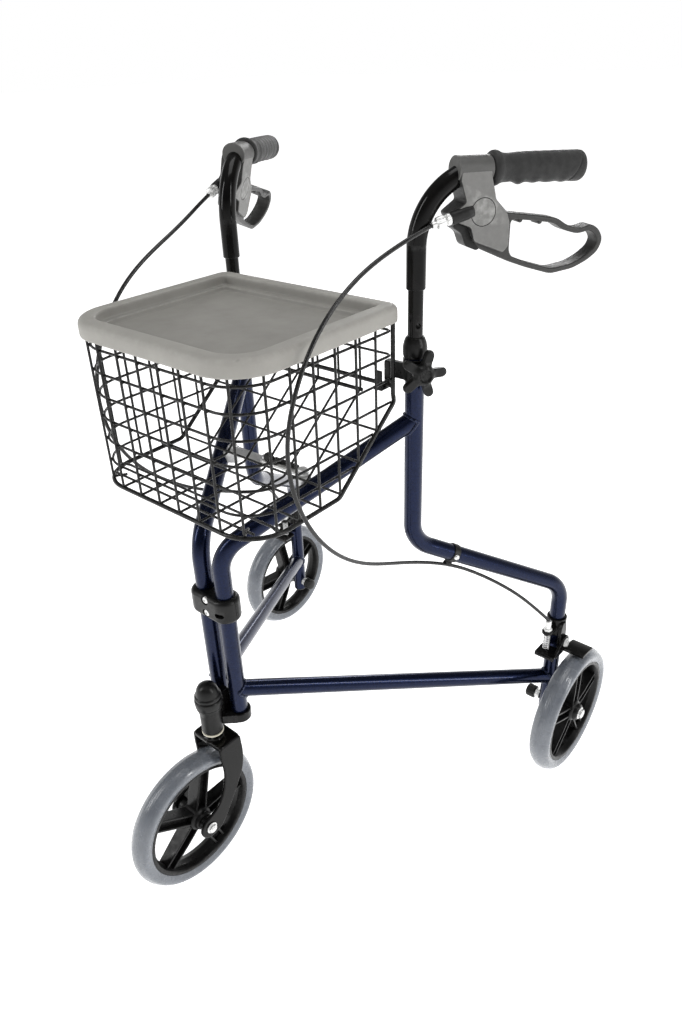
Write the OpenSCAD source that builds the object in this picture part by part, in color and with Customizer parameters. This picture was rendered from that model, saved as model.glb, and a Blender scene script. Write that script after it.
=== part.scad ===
// Three wheel rollator: two folding side frames hinged on a front column,
// a swivelling front caster, two braked rear wheels, height-adjustable
// handles with loop brake levers, and a wire basket with a tray on top.
// Millimetres, +Z up, -Y is the walking direction, +X is the user's left.

/* [Frame] */
// Angle of each side frame from the centre line when locked open
splay = 31; // [30:0.5:32]
// Distance of each hinge tube axis from the centre plane
hinge_x = 17.5; // [17.3:0.1:18]
// Outside diameter of the frame tubes
tube_d = 22.2; // [22:0.1:22.4]
// Wall thickness of the frame tubes
tube_wall = 1.2; // [1.1:0.1:1.25]
// Centre-line radius of the tube bends
bend_r = 45; // [42:1:48]
// Distance of the upright from the hinge axis, along the side frame
upright_s = 245.5; // [245:0.5:246]
// Height of the top end of the upright
upright_top = 690; // [688:1:692]

/* [Wheels] */
// Rolling radius of all three wheels
wheel_r = 100; // [99.5:0.1:100.5]
// Width of the tyres
tyre_w = 31; // [30:0.5:32]
// Outer radius of the plastic wheel under the tyre
rim_r = 81.5; // [81:0.5:82]
// Distance of the rear wheel planes from the centre plane
rear_x = 300; // [299:1:302]
// How far the swivelled front wheel leads the swivel axis
caster_lead = 49; // [48:1:50]
// Yaw of the front wheel in the stored pose
caster_yaw = -1; // [-3:0.5:1]

/* [Handles] */
// Diameter of the sliding handle post
post_d = 17; // [17:0.1:17.2]
// Height of the handle axis above the floor
handle_z = 883; // [880:1:886]
// Length of the rubber grip
grip_l = 108; // [106:1:110]
// How far the right handle is turned inwards about its post
right_turn = 4; // [0:0.5:5]
// How far the right brake is rolled outwards about its handle
right_roll = 18; // [0:1:20]

/* [Basket] */
// Outside width of the tray
tray_w = 280; // [278:1:280]
// Front to back length of the tray
tray_l = 245; // [244:1:246]
// Height of the tray's upper rim
tray_top = 754; // [754:0.5:756]
// Diameter of the basket's mesh wires
mesh_d = 3; // [2.8:0.1:3]

/* [Hidden] */
$fn = 48;
y_shift = -163.2;                   // moves the hinge axis so the origin is under the box centre
tr = tube_d / 2;                  // frame tube outer radius
ti = tr - tube_wall;              // frame tube inner radius
pr = post_d / 2;                  // post radius
leg_s = 478.3;                    // rear leg distance from the hinge axis
wheel_y = leg_s * cos(splay);     // rear axle position, in line with the leg
leg_x = hinge_x + leg_s * sin(splay);
stem_y = -34.5;                   // swivel axis of the caster
z_low = 233.5;                    // lower end of the hinge tubes
z_bend = 488;                     // corner of the hinge tube into the diagonal
diag = 0.516;                     // slope of the diagonal
z_c1 = 446.4;                     // corner of the upright into the lower rail
z_c2 = 316.5;                     // corner of the lower rail into the leg
z_leg = 84;                       // lower end of the leg
z_b0 = 278;                       // bottom rail height at the hinge tube
z_b1 = 145.7;                     // bottom rail height at the leg
run = 0.05;                       // running clearance, radial
strut_s = 112;                    // strut pivot, along the side frame
strut_n = -18;                    // strut pivot, inboard of the side frame
knob_z = 677;                     // height of the clamping knob
lever_p = [313.7, 840];           // lever pivot in the side frame plane
handle_end = [429, 875.2];          // end of the handle tube
adj_n = 12.5;                     // cable adjuster, outboard of the post
brake_y = wheel_y - 5;            // brake arm pivot
brake_z = 224;
brake_f = wheel_y - 27;           // cable adjuster axis in front of the leg
bk_h = tray_w / 2 - 6;            // basket half width at the wire centres
bk_r = 188;                       // basket rear panel
bk_f = bk_r + 12 - tray_l;        // basket front panel
bk_c = 48;                        // bend of the front corners
bk_rc = 10;                       // bend of the rear corners
bk_z = 561.5;                     // basket floor wires
bk_b = 84;                        // start of the sloping floor
bk_k = 0.8;                       // slope of the floor
bk_t = 747;                       // top rim of the basket
pitch = 33;                       // mesh pitch
// route of the left brake cable from handle to rear brake
cable_pts = [
  [160,213,831.2],[157,199,827.5],[154,182,823],[151,161,817],[150, 135.5, 811],[149, 111, 803],[149.5, 87.5, 792.5],
  [150, 64, 779],[150.5, 45.5, 764.5],[151, 29.5, 749],[151.5, 15, 729],[152, 3, 708],[152.5, -5.5, 689],
  [153, -11, 669],[154, -13, 647],[155.5, -11.5, 624],[157.5, -6.5, 601],[159.5, 2.5, 575],[161,17,549],
  [162,37,524],[160,63,500],[156,93,477],[153,125,459],[152,158,443],[153,190,429],
  [157,220,414],[164,243,403],[175,259,396.5],[187,274,387],[199,290,374],[212,308,358.5],
  [226,327,340],[236,341,325],[245,355,307],[253,367,290],[260,377,278],[263.8,383,268.4]];

// ---------- placing ----------
// whole object
module place() { translate([0, y_shift, 0]) children(); }
// left or right half
module half(right) { place() mirror([right ? 1 : 0, 0, 0]) children(); }
// side frame plane: X along the frame from the hinge axis, Y up, Z outboard
module side(right) { half(right) translate([hinge_x, 0, 0]) rotate([0, 0, 90 - splay]) rotate([90, 0, 0]) children(); }

// ---------- tube paths in the plane ----------
function unit(v) = v / norm(v);
function dir(p, i) = unit(p[i + 1] - p[i]);
function turn(p, i) = let (a = dir(p, i - 1), b = dir(p, i)) atan2(a[0] * b[1] - a[1] * b[0], a * b);
function tlen(p, i, r) = r * tan(abs(turn(p, i)) / 2);
module rod2(p, q, r) {
  d = q - p;
  translate([p[0], p[1], 0]) rotate([0, 0, atan2(d[1], d[0])]) rotate([0, 90, 0]) cylinder(r = r, h = norm(d));
}
module bend2(p, i, r, ro) {
  t = turn(p, i); s = sign(t); d = dir(p, i - 1);
  n = s * [-d[1], d[0]];
  c = p[i] - d * tlen(p, i, r) + n * r;
  a0 = atan2(-n[1], -n[0]);
  translate([c[0], c[1], 0]) rotate([0, 0, s > 0 ? a0 : a0 - abs(t)])
    rotate_extrude(angle = abs(t)) translate([r, 0]) circle(ro);
}
// solid rod along a bent path: the straights run a little way into the bends
module bar_path(p, r, ro, ext = 0) {
  n = len(p);
  for (i = [0 : n - 2]) {
    d = dir(p, i);
    rod2(p[i] + d * (i == 0 ? -ext : tlen(p, i, r) - 0.9), p[i + 1] - d * (i == n - 2 ? -ext : tlen(p, i + 1, r) - 0.9), ro);
  }
  for (i = [1 : n - 2]) bend2(p, i, r, ro + 0.12);
}
module tube_path(p, r, ro, ri) {
  difference() {
    bar_path(p, r, ro);
    bar_path(p, r, ri, 2);
  }
}
module rod_x(x0, x1, y, z, r) { translate([x0, y, z]) rotate([0, 90, 0]) cylinder(r = r, h = x1 - x0); }
module rod_y(x, y0, y1, z, r) { translate([x, y0, z]) rotate([-90, 0, 0]) cylinder(r = r, h = y1 - y0); }
module rod_z(x, y, z0, z1, r) { translate([x, y, z0]) cylinder(r = r, h = z1 - z0); }
module box(a, b) { translate(a) cube(b - a); }

// ---------- side frames ----------
p_front = [[0, z_low], [0, z_bend], [upright_s, z_bend + diag * upright_s]];
p_main = [[upright_s, upright_top], [upright_s, z_c1], [leg_s, z_c2], [leg_s, z_leg]];
module front_tube(right) {
  color("midnightblue") side(right) difference() {
    tube_path(p_front, bend_r, tr, ti);
    rod2([upright_s, 540], [upright_s, 690], tr + 0.25);
  }
}
module main_tube(right) {
  color("midnightblue") side(right) difference() {
    tube_path(p_main, bend_r, tr, ti);
    // hole for the clamping knob, outboard wall
    translate([upright_s, knob_z, 0]) cylinder(r = 5, h = 30);
    // axle holes, square to the wheel
    translate([leg_s, wheel_r, 0]) rotate([0, splay, 0]) cylinder(r = 6, h = 60, center = true);
  }
}
module bottom_tube(right) {
  color("midnightblue") side(right) difference() {
    rod2([0, z_b0], [leg_s, z_b1], tr);
    rod2([0, z_b0], [leg_s, z_b1], ti);
    rod2([0, z_low], [0, 400], tr + 0.25);
    rod2([leg_s, z_leg], [leg_s, 260], tr + 0.25);
  }
}
// plastic bush and domed collar on the upright
module collar(right) {
  color("#17181b") side(right) translate([upright_s, 0, 0]) rotate([-90, 0, 0]) difference() {
    union() {
      translate([0, 0, upright_top]) cylinder(r = 14, h = 12);
      translate([0, 0, upright_top + 12]) cylinder(r1 = 14, r2 = 10.5, h = 12);
      translate([0, 0, 645]) cylinder(r = ti, h = upright_top - 645);
    }
    translate([0, 0, 640]) cylinder(r = pr + run, h = 90);
    translate([0, 0, knob_z]) rotate([90, 0, 0]) cylinder(r = 5, h = 30);
    translate([0, 0, knob_z]) rotate([-90, 0, 0]) cylinder(r = 5, h = 30);
  }
}
// star knob with its threaded stud
module knob(right) {
  color("#141416") side(right) translate([upright_s, knob_z, 0]) {
    translate([0, 0, pr + 0.4]) cylinder(r = 4, h = 14);
    translate([0, 0, 17]) cylinder(r = 9, h = 4);
    difference() {
      union() {
        translate([0, 0, 19]) linear_extrude(9) union() {
          circle(13);
          for (a = [0 : 4]) rotate([0, 0, a * 72]) { translate([0, -5.2]) square([22.8, 10.4]); translate([22.8, 0]) circle(5.2); }
        }
        translate([0, 0, 27]) cylinder(r1 = 12.6, r2 = 9.5, h = 6);
      }
      translate([0, 0, 31.5]) cylinder(r = 7.5, h = 3);
    }
  }
}
// strap round the upright with the threaded boss and the basket hook
module hook(right) {
  color("#161619") {
    side(right) difference() {
      union() {
        translate([upright_s, 0, 0]) rotate([-90, 0, 0]) translate([0, 0, 664]) cylinder(r = 13.4, h = 25.5);
        translate([upright_s, knob_z, 0]) cylinder(r = 9, h = 16.6);
      }
      translate([upright_s, 0, 0]) rotate([-90, 0, 0]) translate([0, 0, 650]) cylinder(r = tr, h = 60);
      translate([upright_s, knob_z, 0]) cylinder(r = 4 + run, h = 30);
    }
    half(right) difference() {
      union() {
        box([112, 199, 664], [138, 206, 684]);
        box([112, 195, 653], [120, 199, 684]);
        box([112, 179, 653], [120, 195, 656.4]);
        box([112, 179, 656.4], [120, 182, 677]);
      }
      translate([hinge_x + upright_s * sin(splay), upright_s * cos(splay), 640]) cylinder(r = 13.4, h = 60);
    }
  }
}
// tab on the diagonal with its pivot pin
module strut_bracket(right) {
  zt = right ? 556.6 : 560;
  zd = z_bend + diag * strut_s;
  color("#8d9095") side(right) {
    difference() {
      union() {
        translate([strut_s, 0, strut_n]) rotate([-90, 0, 0]) translate([0, 0, zd - 4]) cylinder(r = 8, h = zt - zd + 4);
        translate([strut_s - 8, zd - 4, strut_n]) cube([16, zt - zd + 4, -strut_n - 4]);
      }
      rod2([strut_s - 60, zd - 60 * diag], [strut_s + 60, zd + 60 * diag], tr);
    }
    translate([strut_s, zt, strut_n]) rotate([-90, 0, 0]) cylinder(r = 4, h = 3.9);
    translate([strut_s, zt + 3.9, strut_n]) rotate([-90, 0, 0]) cylinder(r = 6.5, h = 4, $fn = 6);
  }
}
// flat folding strut, one half
strut_x = hinge_x + strut_s * sin(splay) + strut_n * cos(splay);
strut_y = strut_s * cos(splay) - strut_n * sin(splay);
module strut(right) {
  z0 = right ? 557 : 560.4;
  color(right ? "silver" : "#2a2a2c") half(right) translate([0, strut_y, z0]) difference() {
    linear_extrude(3) union() {
      translate([0, -8]) square([strut_x, 16]);
      circle(8);
      translate([strut_x, 0]) circle(8);
    }
    translate([strut_x, 0, -1]) cylinder(r = 4 + run, h = 5);
    translate([0, 0, -1]) cylinder(r = 3.5, h = 5);
  }
}
module strut_pivot_bolt() {
  color("silver") place() translate([0, strut_y, 0]) {
    rod_z(0, 0, 560.6, 563.4, 3.4);
    translate([0, 0, 563.4]) cylinder(r = 6, h = 4, $fn = 6);
  }
}

// ---------- front column ----------
module pill2(x, r) { union() { square([2 * x, 2 * r], center = true); translate([-x, 0]) circle(r); translate([x, 0]) circle(r); } }
module clamp_half(rear) {
  color("#2b2b2e") place() difference() {
    translate([0, 0, 393.5]) linear_extrude(33) pill2(hinge_x, 18);
    for (x = [-hinge_x, hinge_x]) rod_z(x, 0, 380, 440, tr + run);
    box([-50, rear ? -30 : -0.3, 380], [50, rear ? 0.3 : 30, 440]);
    for (z = [402, 420.5]) { rod_y(0, -30, 30, z, 3.2); rod_y(0, -30, -14, z, 5.2); rod_y(0, 14, 30, z, 5.2); }
  }
}
module clamp_front() { clamp_half(false); }
module clamp_rear() { clamp_half(true); }
module clamp_screws() {
  color("silver") place() for (z = [402, 420.5]) {
    rod_y(0, -14, 14, z, 3);
    rod_y(0, -17.5, -14, z, 5);
    translate([0, 14, z]) rotate([-90, 0, 0]) cylinder(r = 5, h = 3, $fn = 6);
  }
}
// bracket that ties both hinge tubes to the caster housing
module hinge_bracket() {
  color("#151517") place() difference() {
    union() {
      translate([0, 0, 230]) linear_extrude(14) union() {
        translate([-hinge_x, -15]) square([2 * hinge_x, 30]);
        translate([-hinge_x, 0]) circle(15);
        translate([hinge_x, 0]) circle(15);
        polygon([[-26, -9], [26, -9], [11, stem_y + 4], [-11, stem_y + 4]]);
      }
      // web between the hinge tubes
      box([-6, stem_y + 6, 231], [6, -2, 276]);
    }
    for (x = [-hinge_x, hinge_x]) rod_z(x, 0, 233.3, 290, tr + run);
    rod_z(0, stem_y, 200, 262, 14);
    rod_z(0, stem_y, 251.5, 300, 18.6);
  }
}
module caster_housing() {
  color("#39393c") place() difference() {
    union() { rod_z(0, stem_y, 222.5, 257, 14); translate([0, stem_y, 252]) cylinder(r1 = 13.6, r2 = 17.6, h = 14); }
    rod_z(0, stem_y, 215, 233, 12.5);
    rod_z(0, stem_y, 215, 280, 10);
    rod_z(0, stem_y, 256, 280, 12.5);
  }
}
module caster_cap() {
  color("#1c1c1e") place() translate([0, stem_y, 0]) rotate_extrude() polygon([
    [0, 301], [5, 300.4], [9, 298.4], [12.2, 295], [14.6, 290], [15.6, 284], [17, 283], [17.4, 281], [17, 279], [16.2, 278.4],
    [16.2, 277.4], [17.8, 276.6], [18.2, 274], [18, 271], [17.6, 266.2], [12.4, 266.2], [12.4, 284], [10.5, 290], [6.5, 295.5], [0, 297]]);
}
module caster_bearings() {
  color("silver") place() {
    for (z = [223.2, 256.6]) difference() {
      rod_z(0, stem_y, z, z + 9, 12.5);
      rod_z(0, stem_y, z - 1, z + 10, 6 + run);
    }
  }
}
module caster_washer() {
  color("ivory") place() difference() {
    rod_z(0, stem_y, 219.6, 222.2, 14.4);
    rod_z(0, stem_y, 210, 230, 6 + run);
  }
}
// ---------- caster, built straight and then turned on the swivel ----------
module swivel() { place() translate([0, stem_y, 0]) rotate([0, 0, caster_yaw]) children(); }
module caster_fork() {
  color("#232326") swivel() difference() {
    union() {
      // crown with its raised seat
      box([-27.3, -13.6, 203.5], [27.3, 22.7, 211]);
      rod_z(0, 0, 210, 219.3, 12);
      // blades from the crown down to the axle, splayed a little
      for (m = [0, 1]) mirror([m, 0, 0]) translate([27.5, 0, 211]) rotate([0, -2.8, 0]) translate([-4.5, 0, -211])
        rotate([90, 0, 90]) linear_extrude(4.5) polygon([
          [-13, 207], [-13, 190], [-12, 178], [-12, 165], [-14.5, 152.5], [-21, 136], [-28, 127], [-37, 120], [-48, 116],
          [-57, 113.5], [-63, 107], [-65, 100], [-63, 92], [-57, 86], [-49, 84], [-40, 84.5], [-30, 88.5], [-24.5, 95],
          [-17, 104], [-9, 115.5], [0, 127], [7.5, 139], [14, 148.5], [18.5, 158], [21.5, 170], [23, 185], [22, 201], [22, 207]]);
    }
    rod_z(0, 0, 190, 225, 6);
    rod_x(-40, 40, -caster_lead, wheel_r, 6);
  }
}
module caster_stem() {
  color("silver") swivel() {
    rod_z(0, 0, 202, 284, 6);
    translate([0, 0, 197.8]) cylinder(r = 9, h = 5.5);
    translate([0, 0, 268]) cylinder(r = 9.5, h = 7, $fn = 6);
  }
}
module caster_axle() {
  color("silver") swivel() {
    rod_x(-38, 38, -caster_lead, wheel_r, 6);
    for (m = [0, 1]) mirror([m, 0, 0]) {
      translate([33.6, -caster_lead, wheel_r]) rotate([0, 90, 0]) cylinder(r = 9, h = 4.4, $fn = 6);
      rod_x(19.3, 27.7, -caster_lead, wheel_r, 9);
    }
  }
}
// ---------- wheels, about the X axis ----------
module rim(hub, phase) {
  rotate([0, 90, 0]) difference() {
    union() {
      difference() { cylinder(r = rim_r, h = 26, center = true); cylinder(r = 73, h = 40, center = true); }
      cylinder(r = 17, h = hub, center = true);
      for (a = [0 : 4]) rotate([0, 0, a * 72 + phase]) translate([43, 0, 0]) difference() {
        cube([68, 17, 20], center = true);
        for (s = [-1, 1]) translate([0, 0, s * 12]) cube([80, 11, 10], center = true);
      }
    }
    cylinder(r = 6 + run, h = 80, center = true);
  }
}
module tyre() {
  b = tyre_w / 2;
  rotate([0, 90, 0]) rotate_extrude($fn = 96) polygon([
    [rim_r, -13], [rim_r + 5, -b + 0.6], [rim_r + 9, -b], [rim_r + 13, -b + 1.5], [wheel_r - 2.4, -8.5], [wheel_r - 0.5, -4.5], [wheel_r, 0],
    [wheel_r - 0.5, 4.5], [wheel_r - 2.4, 8.5], [rim_r + 13, b - 1.5], [rim_r + 9, b], [rim_r + 5, b - 0.6], [rim_r, 13]]);
}
module caster_rim() { color("#1a1a1c") swivel() translate([0, -caster_lead, wheel_r]) rim(38, 21); }
module caster_tyre() { color("slategray") swivel() translate([0, -caster_lead, wheel_r]) tyre(); }
module rear_rim(right) { color("#1a1a1c") half(right) translate([rear_x, wheel_y, wheel_r]) rim(38, right ? 47 : 31); }
module rear_tyre(right) { color("slategray") half(right) translate([rear_x, wheel_y, wheel_r]) tyre(); }
// rear axle bolt through the leg, with its capped nut
module axle(right) {
  color("#2b2b2d") half(right) {
    rod_x(leg_x - 30, rear_x + 25, wheel_y, wheel_r, 6);
    translate([leg_x - 33, wheel_y, wheel_r]) rotate([0, 90, 0]) cylinder(r = 10, h = 15);
    translate([rear_x + 19.5, wheel_y, wheel_r]) rotate([0, 90, 0]) cylinder(r = 9, h = 5, $fn = 6);
    difference() { rod_x(leg_x + tr + 0.5, rear_x - 19.5, wheel_y, wheel_r, 9); rod_x(leg_x, rear_x, wheel_y, wheel_r, 5.9); }
  }
}

// ---------- rear brakes ----------
module brake_bracket(right) {
  color("#19191b") half(right) difference() {
    union() {
      rod_z(leg_x, wheel_y, 234, 262, 14.5);
      box([leg_x - 8, brake_f - 9, 246], [leg_x + 8, wheel_y, 251]);
      box([leg_x + 6, brake_y - 9, 213], [leg_x + 15.5, brake_y + 9, 262]);
      rod_x(leg_x + 12, leg_x + 21.6, brake_y, brake_z, 4);
      rod_x(leg_x + 20, leg_x + 24, brake_y, brake_z, 6.5);
      rod_z(leg_x, brake_f, 251, 268, 4.5);
      translate([leg_x, brake_f, 251]) cylinder(r = 6.5, h = 4, $fn = 6);
    }
    rod_z(leg_x, wheel_y, 200, 280, tr);
    rod_z(leg_x, brake_f, 240, 275, 1.6);
  }
}
module brake_arm(right) {
  color("#1b1b1d") half(right) difference() {
    union() {
      // spring seat in front of the leg
      box([leg_x - 11, brake_f - 13, 212], [leg_x + 19.6, wheel_y - 14.5, 215.5]);
      // cheek beside the leg
      box([leg_x + 15.9, brake_f - 4, 207], [leg_x + 19.6, brake_y + 14, 234]);
      // shoe over the tyre
      box([leg_x + 15.9, brake_y + 3, 198], [rear_x + 15, brake_y + 36, 209.5]);
    }
    rod_x(leg_x, rear_x, brake_y, brake_z, 4 + run);
    rod_x(rear_x - 40, rear_x + 40, wheel_y, wheel_r, wheel_r + 4);
    rod_z(leg_x, brake_f, 200, 230, 1.6);
  }
}
module brake_spring(right) {
  color("silver") half(right) difference() {
    rod_z(leg_x, brake_f, 215.7, 245.8, 4.6);
    rod_z(leg_x, brake_f, 210, 250, 3.4);
  }
}

// ---------- handles ----------
p_handle = [[upright_s, 765.5], [upright_s, handle_z], handle_end];
handle_bend = 72;                 // centre-line radius of the handle's bend
h_dir = unit(handle_end - [upright_s, handle_z]);
h_ang = atan2(h_dir[1], h_dir[0]);
function on_handle(s) = [s, handle_z + (s - upright_s) * h_dir[1] / h_dir[0]];
// handle plane: the side frame plane, turned about the post on the right
module grip_side(right) {
  side(right) translate([upright_s, 0, 0]) rotate([0, right ? right_turn : 0, 0]) translate([-upright_s, 0, 0]) children();
}
// brake plane: the handle plane, rolled about the handle on the right
module brake_side(right) {
  c = on_handle(326);
  grip_side(right) translate([c[0], c[1], 0]) rotate([0, 0, h_ang]) rotate([right ? -right_roll : 0, 0, 0])
    rotate([0, 0, -h_ang]) translate([-c[0], -c[1], 0]) children();
}
module post(right) {
  color("#121214") side(right) difference() {
    rod2([upright_s, 566], [upright_s, 814], pr);
    rod2([upright_s, 560], [upright_s, 820], pr - 1.5);
    // height holes
    for (k = [0 : 5]) translate([upright_s, 727 - 25 * k, -20]) cylinder(r = 3.2, h = 40);
  }
}
module handle_tube(right) {
  color("#121214") grip_side(right) difference() {
    bar_path(p_handle, handle_bend, 10.6);
    bar_path(p_handle, handle_bend, pr, 2);
  }
}
module grip(right) {
  color("#2a2a2c") grip_side(right) difference() {
    translate([326, on_handle(326)[1], 0]) rotate([0, 0, h_ang]) rotate([0, 90, 0]) rotate([0, 0, 90]) rotate_extrude() polygon([
      [0, 0], [15.5, 0], [17.4, 2.5], [17.4, 7], [15, 12], [14, 19], [14.8, 32], [15.4, 60], [15.4, grip_l - 8], [14.6, grip_l - 2], [12, grip_l], [0, grip_l]]);
    rod2(on_handle(320), handle_end, 10.6);
  }
}
h_out = [[287, 872], [294, 851], [278, 840], [281.5, 833], [300, 825.5], [304.5, 811], [339.5, 796.5],
  [346, 803], [345.5, 827.5], [342, 837.5], [328.5, 851], [322.5, 874]];
module brake_housing(right) {
  color("#3a3b3d") difference() {
    brake_side(right) difference() {
      union() {
        rod2(on_handle(286), on_handle(325), 13);
        translate([0, 0, -15]) linear_extrude(30) polygon(h_out);
        translate([0, 0, adj_n]) rod2([279, 836.6], [303, 842.2], 7);
      }
      // slot for the lever
      translate([0, 0, -10.4]) linear_extrude(20.8) union() {
        polygon([[303, 790], [303, 853], [360, 853], [360, 790]]);
      }
      translate([lever_p[0], lever_p[1], -20]) cylinder(r = 3.5, h = 40);
      // thread for the cable adjuster
      translate([0, 0, adj_n]) rod2([270, 834.5], [298, 841.1], 3.2);
    }
    // seat for the handle tube, round its bend too
    grip_side(right) bar_path(p_handle, handle_bend, 10.7);
  }
}
module lever_pin(right) {
  color("silver") brake_side(right) translate([lever_p[0], lever_p[1], -14.5]) cylinder(r = 3.5, h = 29);
}
module adjuster(right) {
  color("silver") brake_side(right) translate([0, 0, adj_n]) difference() {
    union() { rod2([257, 831.4], [297, 840.8], 3.2); rod2([262, 832.6], [271, 834.7], 6.5); rod2([273, 835.2], [277.5, 836.2], 6); }
    rod2([250, 829.8], [310, 843.9], 1.4);
  }
}
l_out = [[313.5, 828.5], [325, 829], [334, 836.5], [346, 836], [406, 825.5], [420, 816.5], [435, 811.5], [451, 815], [461, 809], [467.5, 798],
  [463, 785], [450, 776], [432, 769], [404, 766], [372, 776.5], [349, 785.5], [332, 793.5], [312, 803], [306, 812], [305, 826]];
l_in = [[350, 829], [402, 820.5], [416, 811.5], [434, 806], [449, 808.5], [456, 804], [460.5, 797],
  [457, 789], [445, 780.5], [430, 774.5], [405, 771.5], [374, 781.5], [353, 790.5], [350, 797]];
module lever(right) {
  color("#38393b") brake_side(right) difference() {
    union() {
      translate([0, 0, -10]) linear_extrude(20) difference() { polygon(l_out); polygon(l_in); }
      translate([lever_p[0], lever_p[1], -10]) cylinder(r = 10.3, h = 20);
      translate([0, 0, -10]) linear_extrude(20) polygon([[304, 838], [323, 838], [325, 820], [306, 820]]);
    }
    translate([lever_p[0], lever_p[1], -30]) cylinder(r = 3.5 + run, h = 60);
  }
}

// ---------- brake cables: one swept tube along the route ----------
cable_r = 2.3;
function rot_frame(t) = let (u = unit(cross(t, abs(t[2]) > 0.95 ? [1, 0, 0] : [0, 0, 1]))) [u, cross(u, t)];
function tang(p, i) = unit(p[min(i + 1, len(p) - 1)] - p[max(i - 1, 0)]);
module sweep(p, r, k = 8) {
  n = len(p);
  pts = [for (i = [0 : n - 1]) let (f = rot_frame(tang(p, i))) for (j = [0 : k - 1]) p[i] + r * (cos(j * 360 / k) * f[0] + sin(j * 360 / k) * f[1])];
  faces = concat([[for (j = [0 : k - 1]) j]],
    [for (i = [0 : n - 2]) for (j = [0 : k - 1]) [i * k + j, (i + 1) * k + j, (i + 1) * k + (j + 1) % k]],
    [for (i = [0 : n - 2]) for (j = [0 : k - 1]) [i * k + j, (i + 1) * k + (j + 1) % k, i * k + (j + 1) % k]],
    [[for (j = [k - 1 : -1 : 0]) (n - 1) * k + j]]);
  polyhedron(pts, faces, convexity = 10);
}
// the right cable starts where its rolled brake puts the adjuster
cable_top_r = [[173.5,207.5,837.5],[168,194,834],[162,177.5,829],[156,157.5,822],[150.5,137,812.5]];
cable_pts_r = concat(cable_top_r, [for (i = [5 : len(cable_pts) - 1]) cable_pts[i]]);
module cable(right) { color("#0d0d0e") half(right) sweep(right ? cable_pts_r : cable_pts, cable_r); }

// ---------- basket ----------
function floor_z(y) = y <= bk_b ? bk_z : bk_z + (y - bk_b) * bk_k;
mr = mesh_d / 2;
lay = mesh_d + 0.2;               // second wire layer, just clear of the first
// wire bent round both front corners: half width, front, bend, height, rear end, wire radius
module u_wire(h, f, r, z, e, w) {
  rod_x(-h + r - 0.9, h - r + 0.9, f, z, w);
  for (s = [-1, 1]) {
    translate([s * (h - r), f + r, z]) rotate([0, 0, s > 0 ? -90 : 180]) rotate_extrude(angle = 90) translate([r, 0]) circle(w + 0.12);
    rod_y(s * h, f + r - 0.9, e, z, w);
  }
}
// half length of a cross wire that ends inside the bent floor rim
function cross_w(y) = y < bk_f + bk_c ? bk_h - bk_c + sqrt(pow(bk_c - 2.9, 2) - pow(bk_f + bk_c - y, 2)) : bk_h - 2.9;
module basket() {
  zr = floor_z(bk_r);
  h = norm([bk_r - bk_b, zr - bk_z]);
  a = atan2(zr - bk_z, bk_r - bk_b);
  zt = bk_t - 3;
  color("#101012") place() {
    // upright wires: front and rear
    for (i = [-2.5 : 2.5]) {
      rod_z(i * pitch, bk_f, bk_z + 3.4, zt - 3.2, mr);
      rod_z(i * pitch, bk_r, zr + 3.4, zt - 3.2, mr);
    }
    for (s = [-1, 1]) {
      // upright wires round the front corners and along the sides
      for (t = [31, 72]) rod_z(s * (bk_h - bk_c + bk_c * sin(t)), bk_f + bk_c - bk_c * cos(t), bk_z + 3.4, zt - 3.2, mr);
      for (y = [20 : pitch : bk_r - 20]) rod_z(s * bk_h, y, floor_z(y) + 3.4, zt - 3.2, mr);
      // rear corner posts
      rod_z(s * (bk_h - 0.293 * bk_rc), bk_r - 0.293 * bk_rc, zr + 3.4, zt - 3.2, 2.6);
      // side rails up the slope
      translate([s * bk_h, bk_b, bk_z]) rotate([a - 90, 0, 0]) translate([0, 0, 1.8]) cylinder(r = 2.4, h = h - 2.4);
      // rear corners of the top rim
      translate([s * (bk_h - bk_rc), bk_r - bk_rc, zt]) rotate([0, 0, s > 0 ? 0 : 90]) rotate_extrude(angle = 90) translate([bk_rc, 0]) circle(2.72);
    }
    // top rim and floor rim
    u_wire(bk_h, bk_f, bk_c, zt, bk_r - bk_rc + 0.9, 2.6);
    rod_x(-bk_h + bk_rc - 0.9, bk_h - bk_rc + 0.9, bk_r, zt, 2.6);
    u_wire(bk_h, bk_f, bk_c, bk_z, bk_b - 2, 2.4);
    // level wires inside the uprights
    for (z = [587 : 27.5 : 730]) {
      u_wire(bk_h - lay, bk_f + lay, bk_c - lay, z, min(bk_r - 14, bk_b + (z - bk_z) / bk_k - 4), mr);
      if (z > zr + 40) rod_x(-bk_h + 8, bk_h - 8, bk_r - lay, z, mr);
    }
    // hanger rod that lies in the hooks
    rod_x(-bk_h + 3.2, bk_h - 3.2, 188.5, 659.2, 2.6);
    // floor wires
    for (i = [-2.5 : 2.5]) rod_y(i * pitch, bk_f + 2.7, bk_b, bk_z, mr);
    for (i = [-2.5 : 2.5]) translate([i * pitch, bk_b, bk_z]) rotate([a - 90, 0, 0]) translate([0, 0, 1.2]) cylinder(r = mr, h = h - 2.4);
    for (y = [bk_f + 15 : pitch : bk_b]) rod_x(-cross_w(y), cross_w(y), y, bk_z + lay, mr);
    for (k = [1 : 3]) let (d = k * h / 4) rod_x(-bk_h + 2.6, bk_h - 2.6, bk_b + d * cos(a) - lay * sin(a), bk_z + d * sin(a) + lay * cos(a), mr);
    // lower rear rail, short so that the hooks pass its ends
    rod_x(-2.5 * pitch - 3, 2.5 * pitch + 3, bk_r, zr, 2.4);
  }
}

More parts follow.
